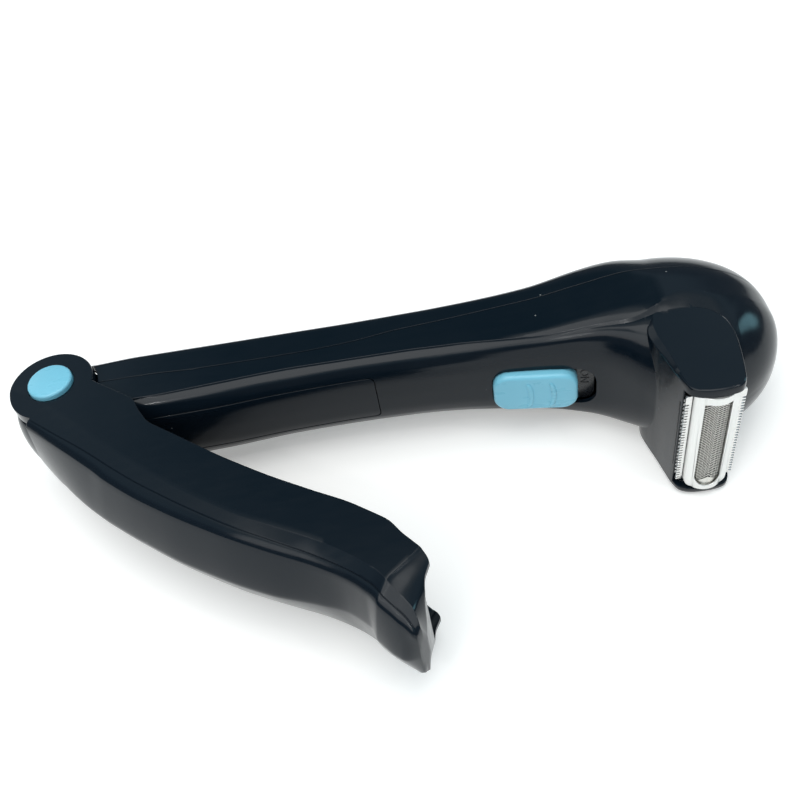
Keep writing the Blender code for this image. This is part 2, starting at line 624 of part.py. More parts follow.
def build_batteries():
    low, high = BAY_SPAN
    back = CELL_Y + CELL_RADIUS + 0.4
    outer = (low - CONTACT - GAP - 1.4, high + CONTACT + GAP + 1.4)
    inner = (outer[0] + 1.4, outer[1] - 1.4)
    outline = ((outer[0], -8.0), (inner[0], -8.0), (inner[0], back), (inner[1], back), (inner[1], -8.0),
               (outer[1], -8.0), (outer[1], back + 1.4), (outer[0], back + 1.4))
    store("battery_tray", prism_mesh(outline, -BAY_HALF, BAY_HALF), (BLACK, 0.5), root)
    gap = 0.3
    for name, side, start, nub in (("battery_cell_upper", 1, high - gap - CELL_NUB[1] - CELL_LENGTH, 1),
                                   ("battery_cell_lower", -1, low + gap + CELL_NUB[1], -1)):
        end = start + CELL_LENGTH
        cell = store(name, rod_mesh(CELL_RADIUS, (start, CELL_Y, side * CELL_Z), (end, CELL_Y, side * CELL_Z), 24),
                     ((0.25, 0.25, 0.27), 0.35, 0.4), root)
        face = end if nub > 0 else start
        join(cell, name + "_nub", rod_mesh(CELL_NUB[0], (face - 0.5 * nub, CELL_Y, side * CELL_Z),
                                           (face + CELL_NUB[1] * nub, CELL_Y, side * CELL_Z), 12))
    for name, side, first, last in (("battery_spring_upper", 1, low + gap, high - 2 * gap - CELL_NUB[1] - CELL_LENGTH),
                                    ("battery_spring_lower", -1, low + 2 * gap + CELL_NUB[1] + CELL_LENGTH, high - gap)):
        spring = coil(name, 4.0, 0.8, 4, first + 0.4, last - 0.4, (STEEL, 0.3, 1.0), root)
        spring.rotation_euler = (0.0, math.radians(90), 0.0)
        spring.location = Vector((0, CELL_Y, side * CELL_Z)) * MM
    store("contact_bridge", box_mesh((low - CONTACT, -6.5, -13.2), (low, 7.0, 13.2)), (STEEL, 0.3, 1.0), root)
    for name, side in (("contact_plus", 1), ("contact_minus", -1)):
        near, far = sorted((side * 0.8, side * 13.2))
        store(name, box_mesh((high, -6.5, near), (high + CONTACT, 7.0, far)), (STEEL, 0.3, 1.0), root)


def rounded_box(low, high, radius, segments):
    """A block whose edges along Y are rounded."""
    bm = box_mesh(low, high)
    edges = [e for e in bm.edges if abs(e.verts[0].co.y - e.verts[1].co.y) > 1e-6]
    bmesh.ops.bevel(bm, geom=edges, offset=radius, segments=segments, profile=0.5, affect="EDGES")
    return bm


def build_switch():
    half = SWITCH_LENGTH / 2
    body = rounded_box((-half, -SWITCH_PROUD, -SWITCH_HALF), (half, TRACK_DEPTH - 0.4, SWITCH_HALF), 4.5, 4)
    slider = store("power_switch", body, (BLUE, 0.3), switch_place)
    join(slider, "switch_stem", box_mesh((-3, 0, -1.6), (3, 5.6, 1.6)))
    track = store("switch_track", box_mesh((-half - 2.4, TRACK_DEPTH, -SWITCH_HALF - 0.9),
                                           (half + SWITCH_TRAVEL + 1.2, TRACK_DEPTH + 1.2, SWITCH_HALF + 0.9)),
                  (BLACK, 0.4), switch_place)
    cut(track, "stem_slot", box_mesh((-3.4, -5, -2.0), (3.4 + SWITCH_TRAVEL, 20, 2.0)))
    store("switch_wiper", box_mesh((-4.5, 5.9, -5.0), (4.5, 6.5, 5.0)), (BRASS, 0.3, 1.0), switch_place)
    store("contact_board", box_mesh((-13, 6.9, -9.0), (17, 8.1, 9.0)), ((0.03, 0.16, 0.08), 0.4), switch_place)


def wire(name, route, colour):
    """A thin insulated wire on a smooth way through its points."""
    curve = bpy.data.curves.new(name, "CURVE")
    curve.dimensions = "3D"
    curve.bevel_depth = WIRE_RADIUS * MM
    curve.bevel_resolution = 1
    curve.use_fill_caps = True
    keys = [(i, point) for i, point in enumerate(route)]
    steps = WIRE_STEPS * (len(route) - 1)
    line = curve.splines.new("POLY")
    line.points.add(steps)
    for i, point in enumerate(line.points):
        point.co = (*(Vector(along(keys, i / WIRE_STEPS)) * MM), 1.0)
    made = bpy.data.objects.new(name, curve)
    parts.objects.link(made)
    curve.materials.append(finish(name, colour, 0.5))
    made.parent = root


def build_wires():
    for name, side, colour in (("red", 1, RED), ("black", -1, BLACK)):
        wire("battery_wire_" + name, ((97.2, 2.0, side * 6.0), (108.0, 0.0, side * 7.5), (122.0, -2.0, side * 7.5),
                                      (138.0, -5.0, side * 7.0), (153.0, -7.4, side * 5.0)), colour)
        wire("motor_wire_" + name, ((186.0, -11.5, side * 5.0), (193.0, -7.0, side * 6.0), (201.0, 1.0, side * 6.0),
                                    (208.0, 4.0, side * 5.0), (213.0, 3.4, side * 4.0), (NECK_X, 0.4, side * 4.0)), colour)


def build_motor():
    start, end = MOTOR_SPAN

    def axis(y):
        return NECK_X, y, 0.0

    store("motor_can", rod_mesh(MOTOR_RADIUS, axis(start), axis(end)), (STEEL, 0.3, 1.0), root)
    store("motor_cap", rod_mesh(MOTOR_RADIUS - 0.6, axis(end + GAP), axis(end + 3.4), 24), (BLACK, 0.5), root)
    mount = store("motor_mount", box_mesh((NECK_X - 11.4, start - 2.0, -13.0), (NECK_X + 11.4, start - GAP, 13.0)),
                  (BLACK, 0.5), root)
    cut(mount, "shaft_way", rod_mesh(2.6, axis(-60), axis(0), 16))
    store("motor_shaft", rod_mesh(1.0, axis(start - GAP), axis(start - 3.6), 12), (STEEL, 0.25, 1.0), root)
    cam = store("cam_disc", rod_mesh(CAM_RADIUS, axis(start - 3.9), axis(start - 6.4), 20), (BLACK, 0.4), root)
    join(cam, "cam_pin", rod_mesh(PIN_RADIUS, (NECK_X + CAM_OFFSET, start - 5.5, 0),
                                  (NECK_X + CAM_OFFSET, start - 10.2, 0), 12))


def arch(radius, centre_y, reach, steps, x=0.0):
    """Points on an arch that bulges to -Y, from left to right."""
    turns = [math.radians(-reach + 2 * reach * i / steps) for i in range(steps + 1)]
    return [(x + radius * math.sin(turn), centre_y - radius * math.cos(turn)) for turn in turns]


def skirted_arch(shape, grow=0.0, steps=10):
    """An arch with a straight skirt down each side, grown by a distance."""
    radius, centre_y, reach, end = shape
    half = radius * math.sin(math.radians(reach)) + grow
    turn = math.degrees(math.asin(half / (radius + grow)))
    return [(NECK_X - half, end), *arch(radius + grow, centre_y, turn, steps, NECK_X), (NECK_X + half, end)]


def toothed_strip(side, root_half, low, tip_half, half_z, teeth, y_low, y_high):
    """A strip along Z with teeth pointing away from the middle of the head."""
    outline = [(root_half, -half_z), (low, -half_z)]
    pitch = 2 * half_z / teeth
    for i in range(teeth):
        base = -half_z + i * pitch
        outline += [(low, base + 0.15 * pitch), (tip_half, base + 0.3 * pitch),
                    (tip_half, base + 0.7 * pitch), (low, base + 0.85 * pitch)]
    outline += [(low, half_z), (root_half, half_z)]
    bm = prism_mesh(outline, 0.0, y_high - y_low)
    turn = Matrix(((side, 0, 0, NECK_X), (0, 0, 1, y_low), (0, 1, 0, 0), (0, 0, 0, 1)))
    bmesh.ops.transform(bm, matrix=turn, verts=bm.verts)
    return bm


def build_head():
    half_x = POCKET_HALF[0] - GAP
    base = store("head_base", box_mesh((NECK_X - half_x, BASE_FRONT_Y, -HEAD_HALF_Z),
                                       (NECK_X + half_x, -41.9, HEAD_HALF_Z)), (BLACK, 0.45), head_place)
    cut(base, "carrier_way", box_mesh((NECK_X - 4.8, -60, -7.4), (NECK_X + 4.8, -30, 7.4)), root)
    carrier = store("cutter_carrier", box_mesh((NECK_X - 9.2, -48.5, -15.5), (NECK_X + 9.2, -47.0, 15.5)),
                    (BLACK, 0.4), root)
    join(carrier, "carrier_stem", box_mesh((NECK_X - 4.2, -47.6, -5.6), (NECK_X + 4.2, -37.8, 5.6)))
    room = CAM_OFFSET + PIN_RADIUS + 0.3
    cut(carrier, "cam_slot", box_mesh((NECK_X - room, -42.5, -room - STROKE), (NECK_X + room, -30, room + STROKE)))
    store("inner_cutter", prism_mesh(skirted_arch(CUTTER), -CUTTER_HALF_Z, CUTTER_HALF_Z), (STEEL, 0.3, 1.0), head_place)
    for name, side in (("cutter_spring_upper", 1), ("cutter_spring_lower", -1)):
        spring = coil(name, 1.3, 0.3, 2, 48.9, 50.35, (STEEL, 0.3, 1.0), root, 8)
        spring.rotation_euler = (math.radians(90), 0.0, 0.0)
        spring.location = Vector((NECK_X, 0, side * 11.0)) * MM
    for name, side in (("trimmer_blade_left", -1), ("trimmer_blade_right", 1)):
        blade = toothed_strip(side, 6.2, 8.3, 9.5, BLADE_HALF_Z, BLADE_TEETH, -49.4, -48.9)
        store(name, blade, (STEEL, 0.3, 1.0), head_place)
    for name, side in (("comb_left", -1), ("comb_right", 1)):
        comb = toothed_strip(side, COMB_HALVES[0], 8.6, COMB_HALVES[1], COMB_HALF_Z, COMB_TEETH, -50.6, -49.8)
        store(name, comb, (STEEL, 0.3, 1.0), head_place)
    outline = [(NECK_X - FRAME_HALF, FRAME_BACK_Y)]
    outline += [(NECK_X - x, y) for x, y in FRAME_SIDE]
    outline += arch(*BRIDGE, 8, NECK_X)
    outline += [(NECK_X + x, y) for x, y in reversed(FRAME_SIDE)] + [(NECK_X + FRAME_HALF, FRAME_BACK_Y)]
    frame = store("foil_frame", prism_mesh(outline, -HEAD_HALF_Z, HEAD_HALF_Z), (SILVER, 0.25, 0.6), head_place)
    cut(frame, "foil_window", box_mesh((NECK_X - WINDOW_HALF[0], -60, -WINDOW_HALF[1]),
                                       (NECK_X + WINDOW_HALF[0], -40, WINDOW_HALF[1])))
    ends = skirted_arch((*FOIL[:3], -49.0), GAP)
    cut(frame, "foil_ends", prism_mesh(ends, -FOIL_HALF_Z - GAP, FOIL_HALF_Z + GAP))
    for name, side in (("frame_leg_upper", 1), ("frame_leg_lower", -1)):
        near, far = sorted((side * (HEAD_HALF_Z - 1.2), side * HEAD_HALF_Z))
        join(frame, name, box_mesh((NECK_X - 6.0, FRAME_BACK_Y - 0.3, near),
                                   (NECK_X + 6.0, BASE_FRONT_Y - GAP, far)))
    inner = (FOIL[0] - FOIL_SKIN, FOIL[1], math.degrees(math.asin(
        (FOIL[0] * math.sin(math.radians(FOIL[2])) - FOIL_SKIN) / (FOIL[0] - FOIL_SKIN))), FOIL[3])
    band = skirted_arch(FOIL) + skirted_arch(inner)[::-1]
    store("shaving_foil", prism_mesh(band, -FOIL_HALF_Z, FOIL_HALF_Z), (STEEL, 0.3, 1.0), head_place)


def build_screws():
    for i, (place, height) in enumerate(SHELL_SCREWS):
        head, tip = screw_seat(place)
        screw = store("shell_screw_%d" % (i + 1), rod_mesh(SCREW_HEAD[0], (place, head, height),
                                                           (place, head - SCREW_HEAD[1], height), 16),
                      (STEEL, 0.35, 1.0), root)
        join(screw, "shank", rod_mesh(SCREW_SHANK[0], (place, head - 1.0, height), (place, tip, height), 12))


clear_scene()
parts = new_collection("electric_back_shaver")
cutters = new_collection("cutters")
root = add_empty("shaver_frame", HINGE_AT)
fold = add_empty("fold_axis", (0, 0, 0), root, REST_ANGLE)
switch_place = add_empty("switch_place", SWITCH_AT, root, SWITCH_TURN)
head_place = add_empty("head_place", (0, 0, HEAD_Z), root)
build_arm_shells()
build_battery_cover()
build_hinge()
build_handle()
build_batteries()
build_switch()
build_motor()
build_wires()
build_head()
build_screws()
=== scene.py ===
import math

import bmesh
import bpy
from mathutils import Matrix, Vector


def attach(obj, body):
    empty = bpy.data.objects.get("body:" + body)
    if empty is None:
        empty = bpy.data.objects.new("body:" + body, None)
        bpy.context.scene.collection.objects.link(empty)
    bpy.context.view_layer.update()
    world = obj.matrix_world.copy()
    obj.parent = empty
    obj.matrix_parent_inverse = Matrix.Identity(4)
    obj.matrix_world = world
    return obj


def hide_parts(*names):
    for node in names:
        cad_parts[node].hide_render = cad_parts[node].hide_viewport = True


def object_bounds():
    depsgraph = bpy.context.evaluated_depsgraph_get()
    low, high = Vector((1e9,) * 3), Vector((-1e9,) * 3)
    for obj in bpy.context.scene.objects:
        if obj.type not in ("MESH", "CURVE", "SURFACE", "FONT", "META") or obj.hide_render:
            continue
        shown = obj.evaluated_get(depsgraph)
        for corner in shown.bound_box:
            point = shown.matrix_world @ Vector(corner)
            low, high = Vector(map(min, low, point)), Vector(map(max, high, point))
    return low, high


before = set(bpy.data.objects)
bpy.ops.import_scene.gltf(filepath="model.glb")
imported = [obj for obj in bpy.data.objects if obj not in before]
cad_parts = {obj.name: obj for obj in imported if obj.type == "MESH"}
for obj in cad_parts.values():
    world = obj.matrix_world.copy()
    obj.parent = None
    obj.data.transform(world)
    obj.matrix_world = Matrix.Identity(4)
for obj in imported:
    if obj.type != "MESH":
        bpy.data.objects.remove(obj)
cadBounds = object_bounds()

# The hinge axis is the origin for all making: X along the arm, the foil faces -Y, Z up, in millimetres
hingeAt = Vector((-116.0, 45.9, 27.0))
restTurn = math.radians(-37.6)


# Workshop helpers

def between(keys, place):  # smooth values between keyed rows, never overshooting
    places = [key[0] for key in keys]
    place = min(max(place, places[0]), places[-1])
    i = max(k for k in range(len(places) - 1) if places[k] <= place)
    span = places[i + 1] - places[i]
    t = (place - places[i]) / span
    found = []
    for values in zip(*(key[1:] for key in keys)):
        runs = [(b - a) / (q - p) for p, q, a, b in zip(places, places[1:], values, values[1:])]
        tilts = [runs[0]]
        for before, after in zip(runs, runs[1:]):
            tilts.append(0.0 if before * after <= 0 else 2 * before * after / (before + after))
        tilts.append(runs[-1])
        found.append(values[i] * (1 + 2 * t) * (1 - t) ** 2 + tilts[i] * span * t * (1 - t) ** 2
                     + values[i + 1] * t * t * (3 - 2 * t) + tilts[i + 1] * span * t * t * (t - 1))
    return found


def resample(path, steps):  # points at even distances along a path
    lengths = [0.0]
    for a, b in zip(path, path[1:]):
        lengths.append(lengths[-1] + math.dist(a, b))
    made, i = [], 0
    for step in range(steps + 1):
        goal = lengths[-1] * step / steps
        while i < len(path) - 2 and lengths[i + 1] < goal:
            i += 1
        run = lengths[i + 1] - lengths[i]
        share = (goal - lengths[i]) / run if run > 1e-9 else 0.0
        made.append(tuple(p + (q - p) * share for p, q in zip(path[i], path[i + 1])))
    return made


def tidy(bm, weld=0.002):
    bmesh.ops.remove_doubles(bm, verts=bm.verts, dist=weld)
    bmesh.ops.dissolve_degenerate(bm, edges=bm.edges, dist=weld / 2)
    bmesh.ops.delete(bm, geom=[edge for edge in bm.edges if edge.is_wire], context="EDGES")
    bmesh.ops.delete(bm, geom=[vert for vert in bm.verts if not vert.link_edges], context="VERTS")
    bmesh.ops.recalc_face_normals(bm, faces=bm.faces)
    return bm


def skin(rings, closed=True):  # a grid whose rows are laid on the rings; ring ends meet when closed
    rows = [list(ring) + ([ring[0]] if closed else []) for ring in rings]
    bm = bmesh.new()
    bmesh.ops.create_grid(bm, x_segments=len(rows) - 1, y_segments=len(rows[0]) - 1, size=1.0)
    for vert in bm.verts:
        i = round((vert.co.x + 1) / 2 * (len(rows) - 1))
        j = round((vert.co.y + 1) / 2 * (len(rows[0]) - 1))
        vert.co = rows[i][j]
    tidy(bm)
    if closed:
        bmesh.ops.holes_fill(bm, edges=[edge for edge in bm.edges if edge.is_boundary])
        bmesh.ops.recalc_face_normals(bm, faces=bm.faces)
    return bm


def block(low, high):
    bm = bmesh.new()
    bmesh.ops.create_cube(bm, size=1.0)
    bmesh.ops.scale(bm, vec=[b - a for a, b in zip(low, high)], verts=bm.verts)
    bmesh.ops.translate(bm, vec=[(a + b) / 2 for a, b in zip(low, high)], verts=bm.verts)
    return bm


def rod(radius, start, end, steps=48):
    start, end = Vector(start), Vector(end)
    bm = bmesh.new()
    bmesh.ops.create_cone(bm, cap_ends=True, segments=steps, radius1=radius, radius2=radius,
                          depth=(end - start).length)
    turn = (end - start).to_track_quat("Z", "Y").to_matrix().to_4x4()
    bmesh.ops.transform(bm, matrix=Matrix.Translation((start + end) / 2) @ turn, verts=bm.verts)
    return bm


def turned(profile, steps=96):  # lathe work about Z from (radius, height) points
    bm = bmesh.new()
    verts = [bm.verts.new((radius, 0.0, height)) for radius, height in profile]
    edges = [bm.edges.new(pair) for pair in zip(verts, verts[1:])]
    if profile[0][0] > 0.0:
        edges.append(bm.edges.new((verts[-1], verts[0])))
    bmesh.ops.spin(bm, geom=verts + edges, cent=(0, 0, 0), axis=(0, 0, 1), angle=math.tau,
                   steps=steps, use_merge=True)
    return tidy(bm)


def raised(outline, low, high):  # a flat outline in X and Y, raised along Z
    bm = bmesh.new()
    face = bm.faces.new([bm.verts.new((x, y, low)) for x, y in outline])
    top = bmesh.ops.extrude_face_region(bm, geom=[face])["geom"]
    bmesh.ops.translate(bm, vec=(0, 0, high - low), verts=[v for v in top if isinstance(v, bmesh.types.BMVert)])
    bmesh.ops.recalc_face_normals(bm, faces=bm.faces)
    return bm


def facing(bm):  # an outline raised along Z comes to lie in X and Z, raised along Y
    bmesh.ops.transform(bm, matrix=Matrix(((1, 0, 0, 0), (0, 0, 1, 0), (0, 1, 0, 0), (0, 0, 0, 1))), verts=bm.verts)
    bmesh.ops.recalc_face_normals(bm, faces=bm.faces)
    return bm


def standIn(bm):
    mesh = bpy.data.meshes.new("standIn")
    bm.to_mesh(mesh)
    bm.free()
    made = bpy.data.objects.new("standIn", mesh)
    bpy.context.scene.collection.objects.link(made)
    return made


def worked(bm, *steps):  # exact Booleans, each step ("DIFFERENCE" or the like, tool bmesh)
    target = standIn(bm)
    tools = []
    for operation, tool in steps:
        tools.append(standIn(tool))
        step = target.modifiers.new("step", "BOOLEAN")
        step.solver = "EXACT"
        step.operation = operation
        step.object = tools[-1]
    graph = bpy.context.evaluated_depsgraph_get()
    mesh = bpy.data.meshes.new_from_object(target.evaluated_get(graph), depsgraph=graph)
    for item in [target] + tools:
        bpy.data.objects.remove(item)
    made = bmesh.new()
    made.from_mesh(mesh)
    bpy.data.meshes.remove(mesh)
    return made


def off(tool):
    return "DIFFERENCE", tool


def on(tool):
    return "UNION", tool


def within(tool):
    return "INTERSECT", tool


def joined(*parts):  # several loose bmeshes as one
    made = bmesh.new()
    for part in parts:
        mesh = bpy.data.meshes.new("part")
        part.to_mesh(mesh)
        part.free()
        made.from_mesh(mesh)
        bpy.data.meshes.remove(mesh)
    return made


def arc(centre, radius, first, last, steps):  # points on an arc, degrees
    turns = [math.radians(first + (last - first) * i / steps) for i in range(steps + 1)]
    return [(centre[0] + radius * math.cos(turn), centre[1] + radius * math.sin(turn)) for turn in turns]


def roundedOutline(halfX, halfY, radius, steps=10):
    made = []
    for sx, sy, first in ((1, 1, 0), (-1, 1, 90), (-1, -1, 180), (1, -1, 270)):
        made += arc((sx * (halfX - radius), sy * (halfY - radius)), radius, first, first + 90, steps)
    return made


def finished(name, bm, material, body, nodes, edge=0.0, steps=2, angle=32, turn=0.0):
    # millimetres by the hinge become metres in the part's frame, then edges and shading are finished
    move = Matrix.Translation(hingeAt * 0.001) @ Matrix.Scale(0.001, 4) @ Matrix.Rotation(turn, 4, "Z")
    bmesh.ops.transform(bm, matrix=move, verts=bm.verts)
    mesh = bpy.data.meshes.new(name)
    bm.to_mesh(mesh)
    bm.free()
    mesh.shade_smooth()
    made = bpy.data.objects.new(name, mesh)
    bpy.context.scene.collection.objects.link(made)
    mesh.materials.append(material)
    mesh.set_sharp_from_angle(angle=math.radians(30 if edge else angle))
    if edge:
        bevel = made.modifiers.new("edges", "BEVEL")
        bevel.width = edge * 0.001
        bevel.segments = steps
        bevel.limit_method = "ANGLE"
        bevel.angle_limit = math.radians(angle)
        bevel.use_clamp_overlap = False
        even = made.modifiers.new("shading", "WEIGHTED_NORMAL")
        even.keep_sharp = True
    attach(made, body)
    if nodes:
        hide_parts(*nodes)
    return made


# Finishes

def newMaterial(name):
    made = bpy.data.materials.new(name)
    made.use_nodes = True
    return made, made.node_tree.nodes, made.node_tree.links, made.node_tree.nodes["Principled BSDF"]


def noise(nodes, links, coordinates, scale, detail=3.0, stretch=None):
    source = coordinates
    if stretch:
        mapping = nodes.new("ShaderNodeMapping")
        mapping.inputs["Scale"].default_value = stretch
        links.new(coordinates, mapping.inputs["Vector"])
        source = mapping.outputs["Vector"]
    texture = nodes.new("ShaderNodeTexNoise")
    texture.inputs["Scale"].default_value = scale
    texture.inputs["Detail"].default_value = detail
    links.new(source, texture.inputs["Vector"])
    return texture.outputs["Fac"]


def ramp(nodes, links, source, low, high, start=0.3, end=0.7):
    made = nodes.new("ShaderNodeValToRGB")
    made.color_ramp.elements[0].position = start
    made.color_ramp.elements[1].position = end
    made.color_ramp.elements[0].color = (*low, 1.0)
    made.color_ramp.elements[1].color = (*high, 1.0)
    links.new(source, made.inputs["Fac"])
    return made.outputs["Color"]


def spread(nodes, links, source, low, high, start=0.3, end=0.7):
    made = nodes.new("ShaderNodeMapRange")
    for name, value in (("From Min", start), ("From Max", end), ("To Min", low), ("To Max", high)):
        made.inputs[name].default_value = value
    links.new(source, made.inputs["Value"])
    return made.outputs["Result"]


def addBump(nodes, links, shader, source, strength, distance):
    bump = nodes.new("ShaderNodeBump")
    bump.inputs["Strength"].default_value = strength
    bump.inputs["Distance"].default_value = distance
    links.new(source, bump.inputs["Height"])
    links.new(bump.outputs["Normal"], shader.inputs["Normal"])


def glossPlastic(name, colour, tone, roughness, grain=0.03, dust=0.0, gloss=0.5):
    # polished moulding: slow tone drift, fine wipe marks in the gloss, faint moulding ripple, stray dust
    made, nodes, links, shader = newMaterial(name)
    where = nodes.new("ShaderNodeTexCoord").outputs["Object"]
    drift = noise(nodes, links, where, 38.0, 2.0)
    base = ramp(nodes, links, drift, colour, tone)
    if dust:
        cells = nodes.new("ShaderNodeTexVoronoi")
        cells.inputs["Scale"].default_value = 95.0
        links.new(where, cells.inputs["Vector"])
        speck = spread(nodes, links, cells.outputs["Distance"], dust, 0.0, 0.018, 0.03)
        mix = nodes.new("ShaderNodeMix")
        mix.data_type = "RGBA"
        links.new(speck, mix.inputs["Factor"])
        links.new(base, mix.inputs["A"])
        mix.inputs["B"].default_value = (0.42, 0.43, 0.42, 1.0)
        base = mix.outputs["Result"]
    links.new(base, shader.inputs["Base Color"])
    wipes = noise(nodes, links, where, 420.0, 5.0, (0.25, 1.0, 1.0))
    links.new(spread(nodes, links, wipes, roughness - 0.03, roughness + 0.05), shader.inputs["Roughness"])
    addBump(nodes, links, shader, noise(nodes, links, where, 260.0, 2.0), grain, 0.0004)
    shader.inputs["Specular IOR Level"].default_value = gloss
    return made


def moulded(name, colour, tone, roughness, scale=1600.0, depth=0.25):
    # unpolished moulding with a fine spark-eroded grain
    made, nodes, links, shader = newMaterial(name)
    where = nodes.new("ShaderNodeTexCoord").outputs["Object"]
    grain = noise(nodes, links, where, scale, 3.0)
    links.new(ramp(nodes, links, noise(nodes, links, where, 120.0), colour, tone), shader.inputs["Base Color"])
    links.new(spread(nodes, links, grain, roughness - 0.06, roughness + 0.08), shader.inputs["Roughness"])
    addBump(nodes, links, shader, grain, depth, 0.00008)
    return made


def metal(name, colour, tone, roughness, brushed=(1.0, 1.0, 0.04), metallic=1.0, depth=0.12):
    # drawn or ground metal: marks run along one direction
    made, nodes, links, shader = newMaterial(name)
    where = nodes.new("ShaderNodeTexCoord").outputs["Object"]
    marks = noise(nodes, links, where, 5200.0, 3.0, brushed)
    links.new(ramp(nodes, links, marks, colour, tone), shader.inputs["Base Color"])
    shader.inputs["Metallic"].default_value = metallic
    clouds = noise(nodes, links, where, 160.0, 4.0)
    links.new(spread(nodes, links, clouds, roughness - 0.05, roughness + 0.08), shader.inputs["Roughness"])
    addBump(nodes, links, shader, marks, depth, 0.00003)
    return made


print("finishes")
navy = glossPlastic("navyGloss", (0.0030, 0.0070, 0.0122), (0.0044, 0.0084, 0.0135), 0.15, 0.04, 0.5, 0.25)
blue = glossPlastic("paleBlueGloss", (0.20, 0.56, 0.72), (0.23, 0.60, 0.76), 0.28, 0.03)
black = moulded("blackMoulding", (0.010, 0.011, 0.013), (0.016, 0.017, 0.019), 0.42)
trackBlack = moulded("trackMoulding", (0.012, 0.014, 0.017), (0.018, 0.020, 0.024), 0.28)
silver = metal("frameSilver", (0.80, 0.80, 0.775), (0.86, 0.86, 0.84), 0.36, metallic=0.7)
foilSteel = metal("foilSteel", (0.60, 0.59, 0.55), (0.70, 0.69, 0.65), 0.27)
steel = metal("plainSteel", (0.52, 0.52, 0.52), (0.62, 0.62, 0.62), 0.30)
cutterSteel = metal("cutterSteel", (0.035, 0.033, 0.030), (0.06, 0.056, 0.05), 0.42)
combSteel = metal("combSteel", (0.66, 0.655, 0.64), (0.78, 0.775, 0.76), 0.24, (0.04, 1.0, 1.0))
brass = metal("contactBrass", (0.60, 0.42, 0.17), (0.72, 0.52, 0.24), 0.30)
cellWrap = glossPlastic("cellWrap", (0.16, 0.17, 0.19), (0.22, 0.23, 0.25), 0.30)
boardGreen = moulded("boardGreen", (0.012, 0.085, 0.045), (0.018, 0.11, 0.06), 0.35, 2400.0, 0.1)
wireRed = moulded("wireRed", (0.42, 0.018, 0.012), (0.52, 0.028, 0.018), 0.45, 900.0, 0.1)
wireBlack = moulded("wireBlack", (0.012, 0.012, 0.014), (0.020, 0.020, 0.022), 0.45, 900.0, 0.1)


# Arm form
print("arm form")
arm = {
    "start": 8.0, "wall": 1.6, "seam": 0.14,
    "domeX": 210.0, "domeY": -11.0, "domeRadii": (39.93, 32.8, 27.0), "domeFull": (1.0, 0.70, 0.80),
    "corner": (0.90, 0.93, 0.80, 0.82),
    # along the arm: near face, far face, half height, near corner y z, far corner y z
    "rows": ((14, -14.8, 11.6, 16.0, 4.5, 11.0, 3.5, 5.0), (30, -15.6, 12.2, 16.3, 4.5, 11.0, 3.5, 5.0),
             (54, -15.2, 12.2, 16.3, 4.5, 11.0, 3.5, 5.0), (80, -13.6, 12.6, 16.0, 4.5, 11.0, 3.5, 5.0),
             (105, -12.9, 12.8, 15.9, 4.5, 11.0, 3.5, 5.0), (128, -13.6, 13.4, 16.0, 4.6, 11.0, 3.8, 5.2),
             (148, -14.8, 14.0, 16.8, 5.0, 11.0, 4.5, 6.0), (168, -16.8, 15.1, 18.7, 6.0, 11.0, 6.0, 8.0),
             (186, -20.6, 18.0, 22.6, 9.0, 14.0, 10.0, 12.0),
             (200, -31.0, 20.8, 25.9, 19.0, 21.0, 18.0, 18.0),
             (210, -43.8, 21.8, 27.0, 29.5, 25.1, 26.2, 22.1)),
    # the near side's swell from the slope to the middle: share of the drop, share of the reach
    "swell": ((0.0, 0.0), (0.03, 0.22), (0.07, 0.43), (0.11, 0.545), (0.2, 0.70), (0.33, 0.87), (0.585, 0.985),
              (1.0, 1.0)),
    # the parting line of the two shells, then the crease where the top plate ends
    "parting": ((8, 0.2), (34, -0.1), (52, -1.0), (88, -0.5), (105, 0.6), (123, 3.1), (141, 4.1), (159, 4.7),
                (176, 4.4), (200, 3.1), (225, 1.0), (240, -1.0), (246, -3.2), (249, -6.5), (249.93, -10.9)),
    "crease": ((8, -10.7), (35, -10.6), (53, -9.6), (88, -7.4), (122, -7.5), (140, -8.6), (156, -10.9),
               (173, -13.4), (189, -15.5), (199, -17.3), (206.6, -15.6), (211, -13.3), (215, -11.8),
               (218, -11.5), (222, -12.2), (226, -13.7), (231, -15.4)),
    # the slope below the crease: width, drop
    "slope": ((8, 0.42, 0.55), (150, 0.42, 0.55), (185, 0.8, 0.8), (199, 1.4, 1.1), (206.6, 2.0, 1.5),
              (211, 4.8, 2.0), (215, 7.1, 2.1), (219, 8.4, 2.1), (224, 8.2, 2.1), (229, 8.6, 1.8)),
    "columns": (14, 4, 16, 6), "domeBlend": (225.0, 11.0),
    "domeTurns": (32, 35, 38.5, 42, 46, 50, 54, 58, 62, 66, 70, 74, 77.5, 80.5, 83, 85, 86.8, 88.2),
}


def armRow(x):
    if x <= arm["domeX"]:
        return between(arm["rows"], x)
    s = (x - arm["domeX"]) / arm["domeRadii"][0]
    wide = math.sqrt(max(1 - s * s, 0.0))
    nearR = arm["domeRadii"][1] * wide ** arm["domeFull"][0]
    farR = arm["domeRadii"][1] * wide ** arm["domeFull"][1]
    half = arm["domeRadii"][2] * wide ** arm["domeFull"][2]
    corners = [share * size for share, size in zip(arm["corner"], (nearR, half, farR, half))]
    return arm["domeY"] - nearR, arm["domeY"] + farR, half, *corners


def sectionPath(row, steps=24):  # the whole upper half of a section, far mid-plane to near mid-plane
    near, far, half, nearY, nearZ, farY, farZ = row
    turns = [math.pi / 2 * i / steps for i in range(steps + 1)]
    path = [(far, 0.0)]
    path += [(far - farY + farY * math.cos(t), half - farZ + farZ * math.sin(t)) for t in turns]
    path += [(near + nearY - nearY * math.sin(t), half - nearZ + nearZ * math.cos(t)) for t in turns]
    return path + [(near, 0.0)]


